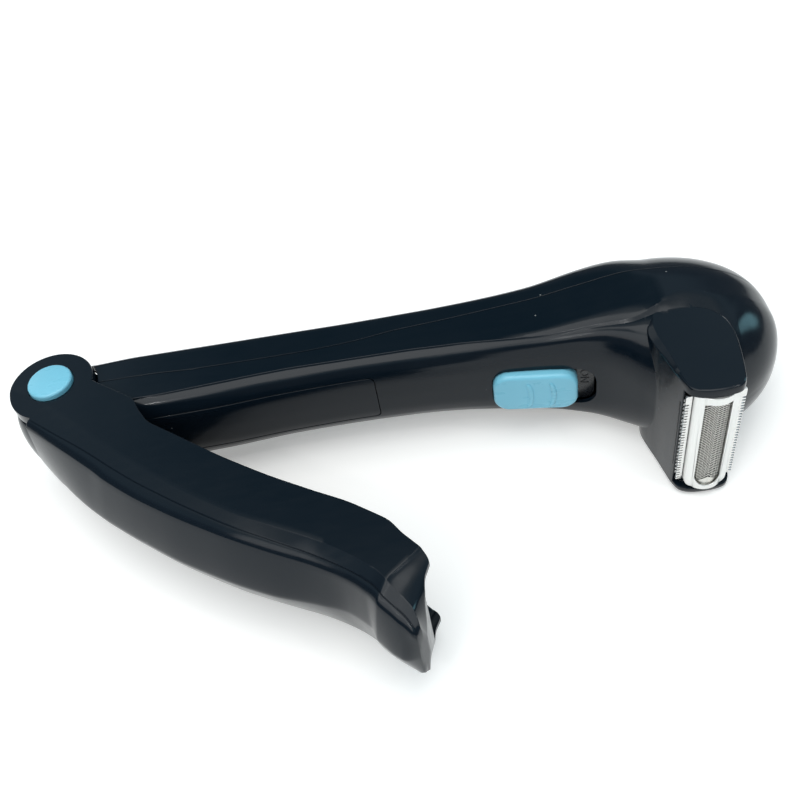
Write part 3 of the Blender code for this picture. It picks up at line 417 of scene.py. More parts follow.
def clipped(path, first, last):  # the stretch of a section path between two places on Y, going to -Y
    made = []
    for (y0, z0), (y1, z1) in zip(path, path[1:]):
        for edge in (first, last):
            if y0 > edge > y1:
                share = (y0 - edge) / (y0 - y1)
                made.append((edge, z0 + (z1 - z0) * share))
        if first >= y1 >= last:
            made.append((y1, z1))
    made.sort(key=lambda point: -point[0])
    return made


def frontUpper(x):  # the front shell's upper half: plate, slope, roll and wall
    row = armRow(x)
    near, far, half, nearY, nearZ, farY, farZ = row
    plateN, slopeN, rollN, wallN = arm["columns"]
    split = between(arm["parting"], x)[0] - arm["seam"]
    base = half - nearZ
    path = sectionPath(row)
    wall = [(near, base * (1 - (i + 1) / wallN)) for i in range(wallN)]
    blend = min(max((x - arm["domeBlend"][0]) / arm["domeBlend"][1], 0.0), 1.0)
    blend *= blend * (3 - 2 * blend)
    if blend > 0:  # the plain dome, its columns laid where the plate, slope and roll would be
        wide = 0.05 * (arm["domeY"] - near)
        top = clipped(path, split, arm["domeY"] - wide)
        low = clipped(path, top[-1][0], top[-1][0] - wide)[-1]
        first = math.asin(min(max((near + nearY - low[0]) / nearY, 0.0), 1.0))
        turns = [first + (math.pi / 2 - first) * (i + 1) / rollN for i in range(rollN)]
        plain = resample(top, plateN) + resample([top[-1], low], slopeN)[1:]
        plain += [(near + nearY - nearY * math.sin(t), base + nearZ * math.cos(t)) for t in turns] + wall
        if blend == 1:
            return plain
    crease = between(arm["crease"], x)[0]
    wide, drop = between(arm["slope"], x)
    plate = resample(clipped(path, split, crease), plateN)
    y0, z0 = plate[-1]
    low = (y0 - wide, z0 - drop)
    slope = resample([plate[-1], low], slopeN)[1:]
    turns = [math.pi / 2 * (i + 1) / rollN for i in range(rollN)]
    side = [(low[0] - (low[0] - near) * math.sin(t), base + (low[1] - base) * math.cos(t)) for t in turns] + wall
    swell = min(max((190.0 - x) / 14.0, 0.0), 1.0)
    for i in range(len(side)):
        fall = ((i + 1) / len(side)) ** 1.7
        y = low[0] - (low[0] - near) * between(arm["swell"], fall)[0]
        side[i] = (side[i][0] + (y - side[i][0]) * swell, side[i][1] + (low[1] * (1 - fall) - side[i][1]) * swell)
    made = plate + slope + side
    if blend > 0:
        made = [(a[0] + (b[0] - a[0]) * blend, a[1] + (b[1] - a[1]) * blend) for a, b in zip(made, plain)]
    return made


def rearUpper(x):  # the rear shell's upper half, from the parting line to the far mid-plane
    row = armRow(x)
    split = between(arm["parting"], x)[0] + arm["seam"]
    path = sectionPath(row)
    top = [point for point in path if point[0] > split] + clipped(path, split + 1e-6, split - 1e-6)
    return list(reversed(resample(top, arm["columns"][0] + 12)))


def inwards(x, y, z, wall):  # the matching point on the inside of the wall
    row = armRow(x)
    middle = (row[0] + row[1]) / 2
    reach = max((row[1] - row[0]) / 2, 0.01)
    kx = 1 - wall / arm["domeRadii"][0]
    innerX = x if x <= arm["domeX"] else arm["domeX"] + (x - arm["domeX"]) * kx
    return innerX, middle + (y - middle) * max(1 - wall / reach, 0.05), z * max(1 - wall / max(row[2], 0.01), 0.05)


def shellForm(upperOf, wall):  # outer skin, inner skin and both rims, as one closed solid
    places = [arm["start"] + i * 2.0 for i in range(int((196 - arm["start"]) / 2) + 1)]
    places += [197 + i * 0.6 for i in range(11)] + [204 + i * 1.5 for i in range(15)]
    places += [226, 227, 228, 229, 230, 230.8]
    places += [arm["domeX"] + arm["domeRadii"][0] * math.sin(math.radians(a)) for a in arm["domeTurns"]]
    rings = []
    for x in places:
        upper = upperOf(x)
        outer = upper + [(y, -z) for y, z in reversed(upper[:-1])]
        ring = [(x, y, z) for y, z in outer]
        ring += [inwards(x, y, z, wall) for y, z in reversed(outer)]
        rings.append(ring)
    return skin(rings)


def barrelRadius(height, grow=0.0):
    return 14.0 + 3.1 * math.sqrt(max(1 - (height / 12.2) ** 2, 0.0)) + grow


def barrelProfile(grow, steps=20):
    heights = [12.2 * math.cos(math.pi * i / steps) for i in range(steps + 1)]
    return [(barrelRadius(height, grow), height) for height in heights]


def hingeWay():
    middle = [(max(radius, 15.5), height) for radius, height in barrelProfile(0.3)]
    return turned([(0, 30), (15.5, 30), *middle, (15.5, -30), (0, -30)])


# Neck: the block that carries the foil unit
neck = {
    "top": 25.0, "bottom": -26.9, "rim": (0.7, 1.2),
    "outline": ((206.5, -14.0), (204.0, -18.5), (202.3, -23.0), (202.0, -27.0), (202.9, -32.0), (204.3, -38.0),
                (205.6, -44.5), (206.6, -49.0), (208.0, -51.9), (211.0, -53.6), (215.5, -54.2), (220.0, -54.0),
                (223.2, -53.2), (224.9, -51.0), (225.9, -47.0), (226.8, -42.0), (227.6, -36.0), (227.9, -31.0),
                (227.5, -26.5), (225.9, -22.5), (221.0, -18.0)),
    # the slope beside the top plate, by the place toward the foil
    "strip": ((15, 0.9), (21, 1.5), (26, 2.1), (32, 2.0), (38, 1.6), (44, 1.2), (49, 0.9), (54, 0.7)),
    "stripFall": 0.66,
    # left and right walls, half height, floor; then how deep the front stands open for the combs
    "pocket": (207.2, 225.9, 22.9, -41.5), "combWay": -49.2, "headZ": -1.0,
}
headX = 215.5


def smoothLoop(points, per=6):  # a rounded closed line through the points
    made = []
    count = len(points)
    for i in range(count):
        a, b, c, d = (Vector(points[(i + k) % count]) for k in (-1, 0, 1, 2))
        for step in range(per):
            t = step / per
            made.append(tuple(0.5 * ((2 * b) + (c - a) * t + (2 * a - 5 * b + 4 * c - d) * t * t
                                     + (3 * b - a - 3 * c + d) * t ** 3)))
    return made


def insetLoop(points, widthOf):
    made = []
    count = len(points)
    area = sum(a[0] * b[1] - b[0] * a[1] for a, b in zip(points, points[1:] + points[:1]))
    for i, (x, y) in enumerate(points):
        run = Vector(points[(i + 1) % count]) - Vector(points[i - 1])
        inward = Vector((-run.y, run.x)).normalized() * (1 if area > 0 else -1)
        wide = widthOf(x, y)
        made.append((x + inward.x * wide, y + inward.y * wide))
    return made


def neckForm():
    outline = smoothLoop(neck["outline"])
    wide, drop = neck["rim"]

    def rimWidth(x, y):  # a broad slope down the left side, a small round elsewhere
        left = min(max((headX - 5.0 - x) / 2.5, 0.0), 1.0)
        return wide + (between(neck["strip"], -y)[0] - wide) * left

    def rimDrop(x, y):
        return max(drop, neck["stripFall"] * rimWidth(x, y))

    levels = []
    for z, grow in ((neck["bottom"], 1.6), (neck["bottom"] + 0.5, 0.6), (neck["bottom"] + 1.6, 0.0), (0.0, 0.0)):
        levels.append([(x, y, z) for x, y in insetLoop(outline, lambda x, y: grow)])
    for below, grow in ((0.5, 0.0), (0.0, 0.1)):
        levels.append([(x, y, neck["top"] - rimDrop(x, y) - below) for x, y in insetLoop(outline, lambda x, y: grow)])
    for share, sink in ((0.12, 0.62), (0.35, 0.22), (1.0, 0.0)):
        loop = insetLoop(outline, lambda x, y: rimWidth(x, y) * share)
        levels.append([(x, y, neck["top"] - rimDrop(x, y) * (sink if rimWidth(x, y) < 1.2 else (1 - share)))
                       for x, y in loop])
    return skin(levels)


screwSpots = ((24.0, 0.0), (121.0, 0.0), (196.0, 14.0), (196.0, -14.0), (236.0, 0.0))


def farFaceAt(x, height):
    row = armRow(x)
    rise = max(abs(height) - (row[2] - row[6]), 0.0) / row[6]
    return row[1] - row[5] * (1 - math.sqrt(max(1 - rise * rise, 0.0)))


def screwHeadAt(x):
    return armRow(x)[1] - 2.2


switch = {
    # the opening: left and right ends, half height, corner radius at each end
    "at": (166.5, -17.3, -3.0), "turn": -8.5, "opening": (-14.8, 20.8, 8.7, 5.2, 6.1),
    "halfLength": 14.5, "half": 8.4, "radius": 5.6, "proud": 2.8, "root": 2.9, "ribs": (-2.6, 5.2),
    "letters": (16.9, 3.3, 1.6), "letterSize": 4.4,
}


def switchFrame(bm):  # switch work is made about its own middle, then laid on the arm's near wall
    move = Matrix.Translation(switch["at"]) @ Matrix.Rotation(math.radians(switch["turn"]), 4, "Z")
    bmesh.ops.transform(bm, matrix=move, verts=bm.verts)
    return bm


def switchOpening():
    left, right, half, first, last = switch["opening"]
    outline = arc((left + first, half - first), first, 180, 90, 8)
    outline += arc((right - last, half - last), last, 90, 0, 10)
    outline += arc((right - last, last - half), last, 0, -90, 10)
    outline += arc((left + first, first - half), first, -90, -180, 8)
    return switchFrame(facing(raised(outline, -15.0, 6.0)))


def doorOutline(slack, travel=0.0):
    low, high, half, radius = 20.0 + slack + travel, 112.0 - slack, 9.8 - slack, 2.0
    outline = arc((high - radius, half - radius), radius, 0, 90, 6) + arc((low + 1, half - 1), 1.0, 90, 180, 4)
    outline += arc((low + 1, -half + 1), 1.0, 180, 270, 4) + arc((high - radius, -half + radius), radius, 270, 360, 6)
    return facing(raised(outline, -30.0, -7.0))


print("front shell")
pocketLeft, pocketRight, pocketZ, pocketY = neck["pocket"]
low, high = neck["headZ"] - pocketZ, neck["headZ"] + pocketZ  # the head unit's own middle is a little low
neckSolid = worked(neckForm(), off(block((headX - 11.5, -32.0, -15.0), (headX + 11.5, -5.0, 15.0))),
                   off(block((headX - 9.0, -42.6, -15.0), (headX + 9.0, -31.0, 15.0))),
                   off(block((pocketLeft, -60, low), (pocketRight, pocketY, high))),
                   off(block((headX - 20, -60, low), (headX + 20, neck["combWay"], high))))
front = worked(shellForm(frontUpper, arm["wall"]), on(neckSolid), off(hingeWay()),
               off(block((headX - 9.0, -42.5, -15.0), (headX + 9.0, -18.0, 15.0))),
               off(block((pocketLeft, -60, low), (pocketRight, pocketY, high))),
               off(doorOutline(0.0)), off(switchOpening()))
finished("frontShell", front, navy, "arm", ["front_shell"], 0.09, 2, 35)

print("rear shell")
steps = []
for x, z in screwSpots:
    base = 5.3 if x < 32 else between(arm["parting"], x)[0] + 2.0
    steps.append(on(rod(3.4, (x, base, z), (x, farFaceAt(x + 3.4, abs(z) + 3.4) - 0.5, z), 32)))
steps.append(off(hingeWay()))
for x, z in screwSpots:
    steps.append(off(rod(2.9, (x, screwHeadAt(x) - 2.1, z), (x, 40, z), 40)))
    steps.append(off(rod(1.6, (x, -20, z), (x, 40, z), 24)))
rear = worked(shellForm(rearUpper, arm["wall"]), *steps)
finished("rearShell", rear, navy, "arm", ["rear_shell"], 0.09, 2, 35)

print("battery cover")
cover = worked(shellForm(frontUpper, arm["wall"]), within(doorOutline(0.28, 2.5)))
finished("batteryCover", cover, navy, "battery_door", ["battery_cover"], 0.12, 2, 35)


# Hinge
print("hinge")
barrel = worked(turned([(0, 12.2), *barrelProfile(0.0, 28), (0, -12.2)]),
                on(block((5, -10, -11.7), (32, 9, 11.7))),
                off(block((19, -20, -9.2), (40, -1, 9.2))),
                off(rod(3.7, (24, 5.0, 0), (24, 30, 0), 24)), off(rod(7.0, (0, 0, -4), (0, 0, 30))),
                off(rod(9.2, (0, 0, 4), (0, 0, 30))), off(rod(2.8, (0, 0, -30), (0, 0, 30), 32)),
                off(rod(1.6, (24, -4, 0), (24, 30, 0), 20)))
finished("hingeBarrel", barrel, navy, "arm", ["hinge_barrel"], 0.25, 2, 40)

button = {"top": 21.2, "radius": 7.8}
r, top = button["radius"], button["top"]
cap = [(0, top), (r * 0.35, top - 0.03), (r * 0.6, top - 0.12), (r * 0.78, top - 0.3)]
cap += [(r - 0.95 + 0.95 * math.sin(math.radians(a)), top - 1.3 + 0.95 * math.cos(math.radians(a)))
        for a in (8, 22, 36, 50, 64, 78, 90)]
buttonForm = turned(cap + [(r, 16.2), (8.9, 16.2), (8.9, 14.4), (5.6, 14.4), (5.6, 12.4), (3.1, 12.4), (3.1, 18.6),
                           (0, 18.6)], 128)
finished("lockButton", buttonForm, blue, "lock", ["lock_button"], 0.12, 2, 50)


# Handle
print("handle")
handle = {
    # from the hinge: inner edge, crease, groove, band edge, wall, crease height, inner edge height
    "rows": ((4, 8.5, -7.8, -13.6, -16.0, -18.9, 19.0, 19.0), (17, 8.0, -9.7, -14.0, -17.0, -22.2, 19.0, 19.0),
             (31, 8.2, -11.5, -14.3, -18.0, -25.2, 19.0, 19.0), (38, 5.1, -12.1, -14.7, -18.6, -26.2, 19.0, 19.0),
             (46, 2.6, -12.6, -15.3, -19.6, -26.9, 19.0, 19.0), (60, 2.6, -13.2, -15.9, -20.2, -27.3, 19.0, 19.0),
             (72, 2.6, -13.6, -15.8, -19.9, -27.3, 19.0, 19.0), (92, 3.4, -12.9, -14.9, -18.4, -25.8, 19.0, 19.0),
             (110, 5.2, -10.3, -13.0, -16.2, -23.0, 19.0, 19.0), (126, 7.0, -8.3, -11.4, -14.0, -18.4, 19.0, 19.0),
             (136, 7.1, -8.1, -11.0, -13.4, -16.2, 19.0, 19.0), (144, 4.9, -8.8, -11.6, -14.2, -17.0, 19.0, 19.0),
             (150.2, 3.5, -9.9, -12.8, -15.6, -19.5, 19.0, 19.0), (151, 3.3, -10.2, -13.1, -15.9, -19.8, 18.4, 18.4),
             (154.4, 1.6, -11.3, -14.0, -16.6, -20.9, 16.9, 16.8),
             (155.6, -2.6, -11.8, -14.3, -16.9, -21.1, 16.3, 15.8),
             (157, -5.6, -12.4, -14.8, -17.1, -21.2, 15.7, 14.4),
             (158.6, -8.5, -13.3, -15.4, -17.4, -20.8, 15.0, 11.8),
             (160.2, -11.0, -14.4, -16.1, -17.7, -19.6, 14.0, 8.0),
             (161.4, -13.4, -15.4, -16.5, -17.5, -18.4, 12.6, 4.5)),
    # how level the strip above the groove lies, 1 the most
    "flat": ((8, 0.8), (50, 1.0), (90, 1.0), (132, 0.3), (150, 0.3)),
    "plate": 2.2, "earRadius": 14.9, "wallBend": 1.25,
}


def handleUpper(u, first=None):
    inner, crease, groove, band, wall, height, rim = between(handle["rows"], u)
    inner = inner if first is None else first
    step = height * 0.126
    flat = between(handle["flat"], u)[0]
    groove, band = groove - 0.8 * flat * step, band - 0.75 * flat * step
    dip, low = (1.2 - 0.87 * flat) * step, (2.1 - 0.8 * flat) * step
    path = resample([(inner, rim), (crease, height)], 10)
    path += resample([(crease, height), (groove + 0.16, height - dip)], 8)[1:]
    path += [(groove, height - dip - 0.14 * step)]
    base = height - low
    wide = groove - band
    for i in range(9):  # the rounded band below the groove
        t = i / 8
        bend = 2 * t * (1 - t)
        path.append(((1 - t) ** 2 * (groove - 0.16) + bend * (groove - 0.55 * wide) + t * t * band,
                     (1 - t) ** 2 * (height - dip) + bend * (height - dip - 0.13 * step) + t * t * base))
    bulge = max(band - wall, 0.0)
    for i in range(1, 15):
        fall = (i / 14) ** 0.9
        path.append((band - bulge * (1 - (1 - fall) ** handle["wallBend"]), base * (1 - fall)))
    return path


def ringOf(u, upper):
    return [(u, y, z) for y, z in upper] + [(u, y, -z) for y, z in reversed(upper[:-1])]


def channelUpper(u):
    inner, crease, groove, band, wall, height, rim = between(handle["rows"], u)
    half = min(height - handle["plate"], rim - 1.4)
    base = height * 0.735 - 0.8
    path = [(20.0, half), (groove + 2.6, half), (band + 2.4, base)]
    for i in range(1, 11):
        rest = 1 - i / 10
        path.append((band + 2.4 - (band - wall) * (1 - rest ** handle["wallBend"]), base * rest))
    return path


def tailSkew(bm):  # the plate ends on a slanting crease
    for vert in bm.verts:
        u, v = vert.co.x, vert.co.y
        fade = min(max((u - 143.0) / 7.3, 0.0), 1.0) if u < 150.3 else min(max((157.0 - u) / 6.7, 0.0), 1.0)
        vert.co.x += 0.235 * fade * min(max(v - 2.6, -11.5), 3.0)
    return bm


handlePlaces = [4 + i * 1.5 for i in range(89)] + [138 + i for i in range(12)]
handlePlaces += [150.2, 150.6] + [151 + i * 0.5 for i in range(21)] + [161.3]
handleRings = [ringOf(u, handleUpper(u)) for u in handlePlaces]
for u, share in ((161.6, 0.86), (161.72, 0.62)):
    handleRings.append([(u, -15.8 + (y + 15.8) * share, z * share) for _, y, z in handleRings[-1]])
handleForm = tailSkew(skin(handleRings))
earSection = [ringOf(u, handleUpper(4.0, 16.0)) for u in (-16, -12, -8, -4, 0, 4, 8, 12)]
ear = handle["earRadius"]
earSide = [(0, 19.4), (ear - 0.45, 19.4), (ear - 0.1, 18.6), (ear, 17.6), (ear, 13.4), (ear - 0.2, 13.2), (0, 13.2)]
earLow = [(radius, -height) for radius, height in reversed(earSide)]
ears = worked(skin(earSection), within(joined(turned(earSide, 128), turned(earLow, 128))))
channelPlaces = [-20, 4] + [8 + i * 5 for i in range(26)] + [137, 141, 145, 148, 150, 152, 154, 155.5, 156.6, 157.5]
channelForm = skin([ringOf(u, channelUpper(max(u, 4))) for u in channelPlaces])
way = turned([(0, 13.2), (14.6, 13.2)] + barrelProfile(0.6) + [(14.6, -13.2), (0, -13.2)])
handleShell = worked(handleForm, off(channelForm), on(ears), off(way),
                     off(rod(8.1, (0, 0, 5), (0, 0, 30), 96)), off(rod(9.2, (0, 0, 5), (0, 0, 16.5), 64)),
                     off(rod(2.7, (0, 0, -30), (0, 0, 0), 32)), off(rod(4.9, (0, 0, -30), (0, 0, -16.7), 48)))
finished("handleShell", handleShell, navy, "handle", ["handle_shell"], 0.14, 2, 35, restTurn)


# Switch
print("switch")


def ribForm(middle):  # a bowed bar with rounded ends
    rings = []
    for i in range(25):
        z = -6.9 + 12.2 * i / 24
        swell = math.sqrt(max(1 - ((i - 12) / 12.2) ** 8, 0.02))
        across = middle + 1.15 * (1 - ((z + 0.8) / 6.1) ** 2)
        ring = [(across + 0.95 * swell, 0.6 - switch["proud"]), (across - 0.95 * swell, 0.6 - switch["proud"])]
        for k in range(9):
            turn = math.pi * (k / 8)
            ring.append((across - 0.95 * swell * math.cos(turn),
                         0.42 - switch["proud"] - 0.62 * swell * math.sin(turn)))
        rings.append([(x, y, z) for x, y in ring])
    return skin(rings)


def sliderForm():
    halfX, halfZ, radius = switch["halfLength"], switch["half"], switch["radius"]
    bm = facing(raised(roundedOutline(halfX, halfZ, radius, 14), 0.4 - switch["proud"], switch["root"]))
    rim = [edge for edge in bm.edges if all(vert.co.y < 0 for vert in edge.verts)]
    bmesh.ops.bevel(bm, geom=rim, offset=1.5, segments=6, profile=0.5, material=-1, affect="EDGES")
    ribs = [on(ribForm(middle)) for middle in switch["ribs"]]
    return switchFrame(worked(tidy(bm), *ribs, on(block((-3, 0.5, -1.6), (3, 5.6, 1.6)))))


finished("switchSlider", sliderForm(), blue, "switch", ["power_switch"], 0.0, 2, 50)


def onLetters():
    text = bpy.data.curves.new("onText", "FONT")
    text.body = "ON"
    text.size = switch["letterSize"]
    text.extrude = 0.12
    text.align_x = "CENTER"
    text.align_y = "CENTER"
    holder = bpy.data.objects.new("onText", text)
    bpy.context.scene.collection.objects.link(holder)
    graph = bpy.context.evaluated_depsgraph_get()
    mesh = bpy.data.meshes.new_from_object(holder.evaluated_get(graph), depsgraph=graph)
    bpy.data.objects.remove(holder)
    bm = bmesh.new()
    bm.from_mesh(mesh)
    tidy(bm, 0.0005)
    move = Matrix.Translation(switch["letters"]) @ Matrix.Rotation(math.radians(90), 4, "X")
    move = move @ Matrix.Rotation(math.radians(-90), 4, "Z")
    bmesh.ops.transform(bm, matrix=move, verts=bm.verts)
    return switchFrame(bm)


track = worked(facing(raised(roundedOutline(18.6, 9.3, 4.0), 3.4, 4.6)))
bmesh.ops.translate(track, vec=(1.8, 0, 0), verts=track.verts)
track = worked(track, off(block((-3.4, -5, -2.0), (9.4, 20, 2.0))))
finished("switchTrack", switchFrame(track), trackBlack, "arm", ["switch_track"], 0.15, 2, 40)
finished("onLettering", onLetters(), black, "arm", [], 0.0, 2, 40)


# Foil unit
print("foil unit")
foilUnit = {
    "x": 216.6, "halfX": 7.1, "halfZ": 22.5, "backY": -50.0, "bridge": (6.8, -48.2, 38.1), "window": (4.25, 19.6),
    "side": ((7.1, -51.3), (6.95, -51.9), (6.5, -52.45), (5.5, -52.85), (4.5, -53.1)),
    "foil": (6.6, -47.6, 41.2, -50.4), "foilHalf": 21.0, "columns": 8, "rows": 48, "slant": 4.6, "bar": 0.0090,
}
unitX = foilUnit["x"]


def arch(radius, centreY, reach, steps):
    turns = [math.radians(-reach + 2 * reach * i / steps) for i in range(steps + 1)]
    return [(unitX + radius * math.sin(turn), centreY - radius * math.cos(turn)) for turn in turns]


def frameForm():
    halfX = foilUnit["halfX"]
    halfZ, side = foilUnit["halfZ"], foilUnit["side"]
    section = [(unitX - halfX, foilUnit["backY"])] + [(unitX - x, y) for x, y in side]
    section += arch(*foilUnit["bridge"], 20)
    section += [(unitX + x, y) for x, y in reversed(side)] + [(unitX + halfX, foilUnit["backY"])]
    topX, topZ, lowX, lowZ = halfX - 1.0, halfZ - 1.0, halfX - 3.2, halfZ - 3.2
    face = arc((unitX + topX, topZ), 1.0, 0, 90, 4) + arc((unitX - topX, topZ), 1.0, 90, 180, 4)
    face += arc((unitX - lowX, -lowZ), 3.2, 180, 270, 8) + arc((unitX + lowX, -lowZ), 3.2, 270, 360, 8)
    wx, wz = foilUnit["window"]
    hole = arc((unitX + wx - 0.6, wz - 0.6), 0.6, 0, 90, 4) + arc((unitX - wx + 0.6, wz - 0.6), 0.6, 90, 180, 4)
    hole += arc((unitX, -wz + 3.2), wx, 180, 360, 24)
    radius, centre = foilUnit["foil"][:2]
    ends = [(unitX - 4.15, -49.0)] + arch(radius + 0.3, centre, 37.0, 16) + [(unitX + 4.15, -49.0)]
    steps = [within(facing(raised(face, -60, -40))), off(facing(raised(hole, -60, -40))),
             off(raised(ends, -foilUnit["foilHalf"] - 0.3, foilUnit["foilHalf"] + 0.3))]
    for near, far in ((halfZ - 1.2, halfZ), (-halfZ, 1.2 - halfZ)):
        steps.append(on(block((unitX - 4.0, -50.3, near), (unitX + 4.0, -46.9, far))))
    return lowered(worked(raised(section, -halfZ, halfZ), *steps))


def lowered(bm):  # the head unit sits a little below the middle plane
    bmesh.ops.translate(bm, vec=(0, 0, neck["headZ"]), verts=bm.verts)
    return bm


finished("foilFrame", frameForm(), silver, "shaving_head", ["foil_frame"], 0.2, 3, 35)


def foilForm():  # rows of slots that slant to both sides, pressed over the arch
    columns, rows, half = foilUnit["columns"], foilUnit["rows"], foilUnit["foilHalf"]
    radius, centre, reach, skirt = foilUnit["foil"]
    bm = bmesh.new()
    bmesh.ops.create_grid(bm, x_segments=columns, y_segments=rows, size=1.0)
    middles = [(face, face.calc_center_median()) for face in bm.faces]
    holes = [face for face, at in middles if abs(at.x) < 0.93 and -0.86 < at.y < 0.93]
    bmesh.ops.inset_individual(bm, faces=holes, thickness=foilUnit["bar"])
    bmesh.ops.delete(bm, geom=holes, context="FACES")
    for vert in bm.verts:
        a, b = vert.co.x, vert.co.y
        fade = min((1.0 - b) / 0.16, (1.0 + b) / 0.20, 1.0)
        turn = math.radians(a * reach)
        x, y = unitX + radius * math.sin(turn), centre - radius * math.cos(turn)
        vert.co = (x, y, b * half + foilUnit["slant"] * (0.5 - abs(a)) * fade)
    edgeX = radius * math.sin(math.radians(reach))
    rims = [edge for edge in bm.edges
            if edge.is_boundary and all(abs(abs(vert.co.x - unitX) - edgeX) < 0.02 for vert in edge.verts)]
    grown = bmesh.ops.extrude_edge_only(bm, edges=rims)["geom"]
    for item in grown:
        if isinstance(item, bmesh.types.BMVert):
            item.co.y = skirt
    bmesh.ops.recalc_face_normals(bm, faces=bm.faces)
    return lowered(bm)


foil = finished("shavingFoil", foilForm(), foilSteel, "shaving_head", ["shaving_foil"], 0.0, 2, 60)
thick = foil.modifiers.new("thickness", "SOLIDIFY")
thick.thickness = 0.00012
thick.offset = -1.0


def combForm(side, root, low, tip, halfZ, teeth, yLow, yHigh, plain=0.0):
    outline = [(root, -halfZ), (low, -halfZ)]
    pitch = (2 * halfZ - plain) / teeth
    for i in range(teeth):
        base = -halfZ + i * pitch
        outline += [(low, base + 0.18 * pitch), (tip - 0.2, base + 0.26 * pitch), (tip, base + 0.36 * pitch),
                    (tip, base + 0.64 * pitch), (tip - 0.2, base + 0.74 * pitch), (low, base + 0.82 * pitch)]
    if plain:
        outline += [(low, halfZ - plain + 0.3), (tip - 0.2, halfZ - plain + 0.4), (tip, halfZ - plain + 0.7),
                    (tip, halfZ - 0.5), (tip - 0.4, halfZ)]
    else:
        outline += [(low, halfZ)]
    outline += [(root, halfZ)]
    bm = raised(outline, 0.0, yHigh - yLow)
    turn = Matrix(((side, 0, 0, unitX), (0, 0, 1, yLow), (0, 1, 0, 0), (0, 0, 0, 1)))
    bmesh.ops.transform(bm, matrix=turn, verts=bm.verts)
    bmesh.ops.recalc_face_normals(bm, faces=bm.faces)
    return lowered(bm)


for name, side in (("left", -1), ("right", 1)):
    finished("comb" + name.title(), combForm(side, 7.35, 8.2, 9.35, 20.8, 29, -50.6, -49.8, 4.0), combSteel,
             "shaving_head", ["comb_" + name], 0.07, 2, 30)
    finished("trimmer" + name.title(), combForm(side, 6.2, 8.3, 9.5, 18.8, 20, -49.4, -48.9), steel, "cutter",
             ["trimmer_blade_" + name], 0.05, 1, 30)

base = worked(block((207.4, -46.6, -23.5), (225.7, -41.9, 21.5)),
              off(block((headX - 4.8, -60, -7.4), (headX + 4.8, -30, 7.4))))
finished("headBase", base, black, "shaving_head", ["head_base"], 0.4, 3, 40)


# Screws
print("screws")
for i, (x, z) in enumerate(screwSpots):
    head = screwHeadAt(x)
    form = turned([(0, 0), (1.5, -0.02), (2.2, -0.15), (2.5, -0.4), (2.6, -0.75), (2.6, -1.8), (1.3, -1.8),
                   (1.3, -10.4), (0.7, -11.4), (0, -11.4)], 40)
    form = worked(form, off(block((-1.5, -0.28, -1.1), (1.5, 0.28, 1.0))),
                  off(block((-0.28, -1.5, -1.1), (0.28, 1.5, 1.0))))
    place = Matrix(((1, 0, 0, x), (0, 0, 1, head), (0, -1, 0, z), (0, 0, 0, 1)))
    bmesh.ops.transform(form, matrix=place, verts=form.verts)
    finished("shellScrew%d" % (i + 1), form, steel, "arm", ["shell_screw_%d" % (i + 1)], 0.06, 2, 40)

pinProfile = [(0, -18.4), (3.4, -18.4), (4.3, -18.1), (4.6, -17.6), (4.6, -17.0), (2.4, -17.0), (2.4, 15.0), (0, 15.0)]
form = worked(turned(pinProfile, 64), off(block((-2.2, -0.4, -20), (2.2, 0.4, -17.7))),
              off(block((-0.4, -2.2, -20), (0.4, 2.2, -17.7))))
finished("pivotPin", form, steel, "handle", ["pivot_pin"], 0.1, 2, 40, restTurn)


# Finishes of the solids that keep their own shape
print("inner parts")
kept = {
    steel: ["battery_spring_lower", "battery_spring_upper", "contact_bridge", "contact_minus", "contact_plus",
            "cutter_spring_lower", "cutter_spring_upper", "hinge_washer_bottom", "hinge_washer_top",
            "lock_gear", "lock_spring", "motor_can", "motor_shaft"],
    black: ["battery_tray", "cam_disc", "cutter_carrier", "motor_cap", "motor_mount"],
    cellWrap: ["battery_cell_lower", "battery_cell_upper"],
    brass: ["switch_wiper"],
    cutterSteel: ["inner_cutter"],
    boardGreen: ["contact_board"],
    wireRed: ["battery_wire_red", "motor_wire_red"],
    wireBlack: ["battery_wire_black", "motor_wire_black"],
}
replaced = {
    navy: ["front_shell", "rear_shell", "battery_cover", "hinge_barrel", "handle_shell"],
    blue: ["lock_button", "power_switch"],
    trackBlack: ["switch_track"],
    silver: ["foil_frame"],
    foilSteel: ["shaving_foil"],
    combSteel: ["comb_left", "comb_right"],
    steel: ["trimmer_blade_left", "trimmer_blade_right", "pivot_pin"] + ["shell_screw_%d" % i for i in range(1, 6)],
    black: ["head_base"],
}
for material, names in list(kept.items()) + list(replaced.items()):
    for name in names:
        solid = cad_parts[name]
        solid.data.materials.clear()
        solid.data.materials.append(material)


# Studio
print("studio")
studio = {
    "floorColour": (0.90, 0.885, 0.875), "lift": 0.30,
    # the room by height of the direction, 0 at the horizon and 1 overhead
    "room": ((0.0, (0.14, 0.15, 0.16)), (0.45, (0.15, 0.18, 0.21)), (0.61, (0.36, 0.48, 0.56)),
             (0.80, (0.38, 0.48, 0.54)), (0.93, (1.0, 1.06, 1.04)), (1.0, (1.1, 1.15, 1.13))),
    # a dark wall, a pale wall and a blue window: colour, direction, cosines where it starts and is full
    "cards": (((0.06, 0.11, 0.13), (-0.0627, 0.7166, 0.6947), 0.945, 0.99),
              ((1.0, 1.08, 1.1), (-0.60, 0.665, 0.445), 0.972, 0.988),
              ((1.8, 3.6, 4.2), (0.917, 0.25, 0.31), 0.984, 0.996)),
}

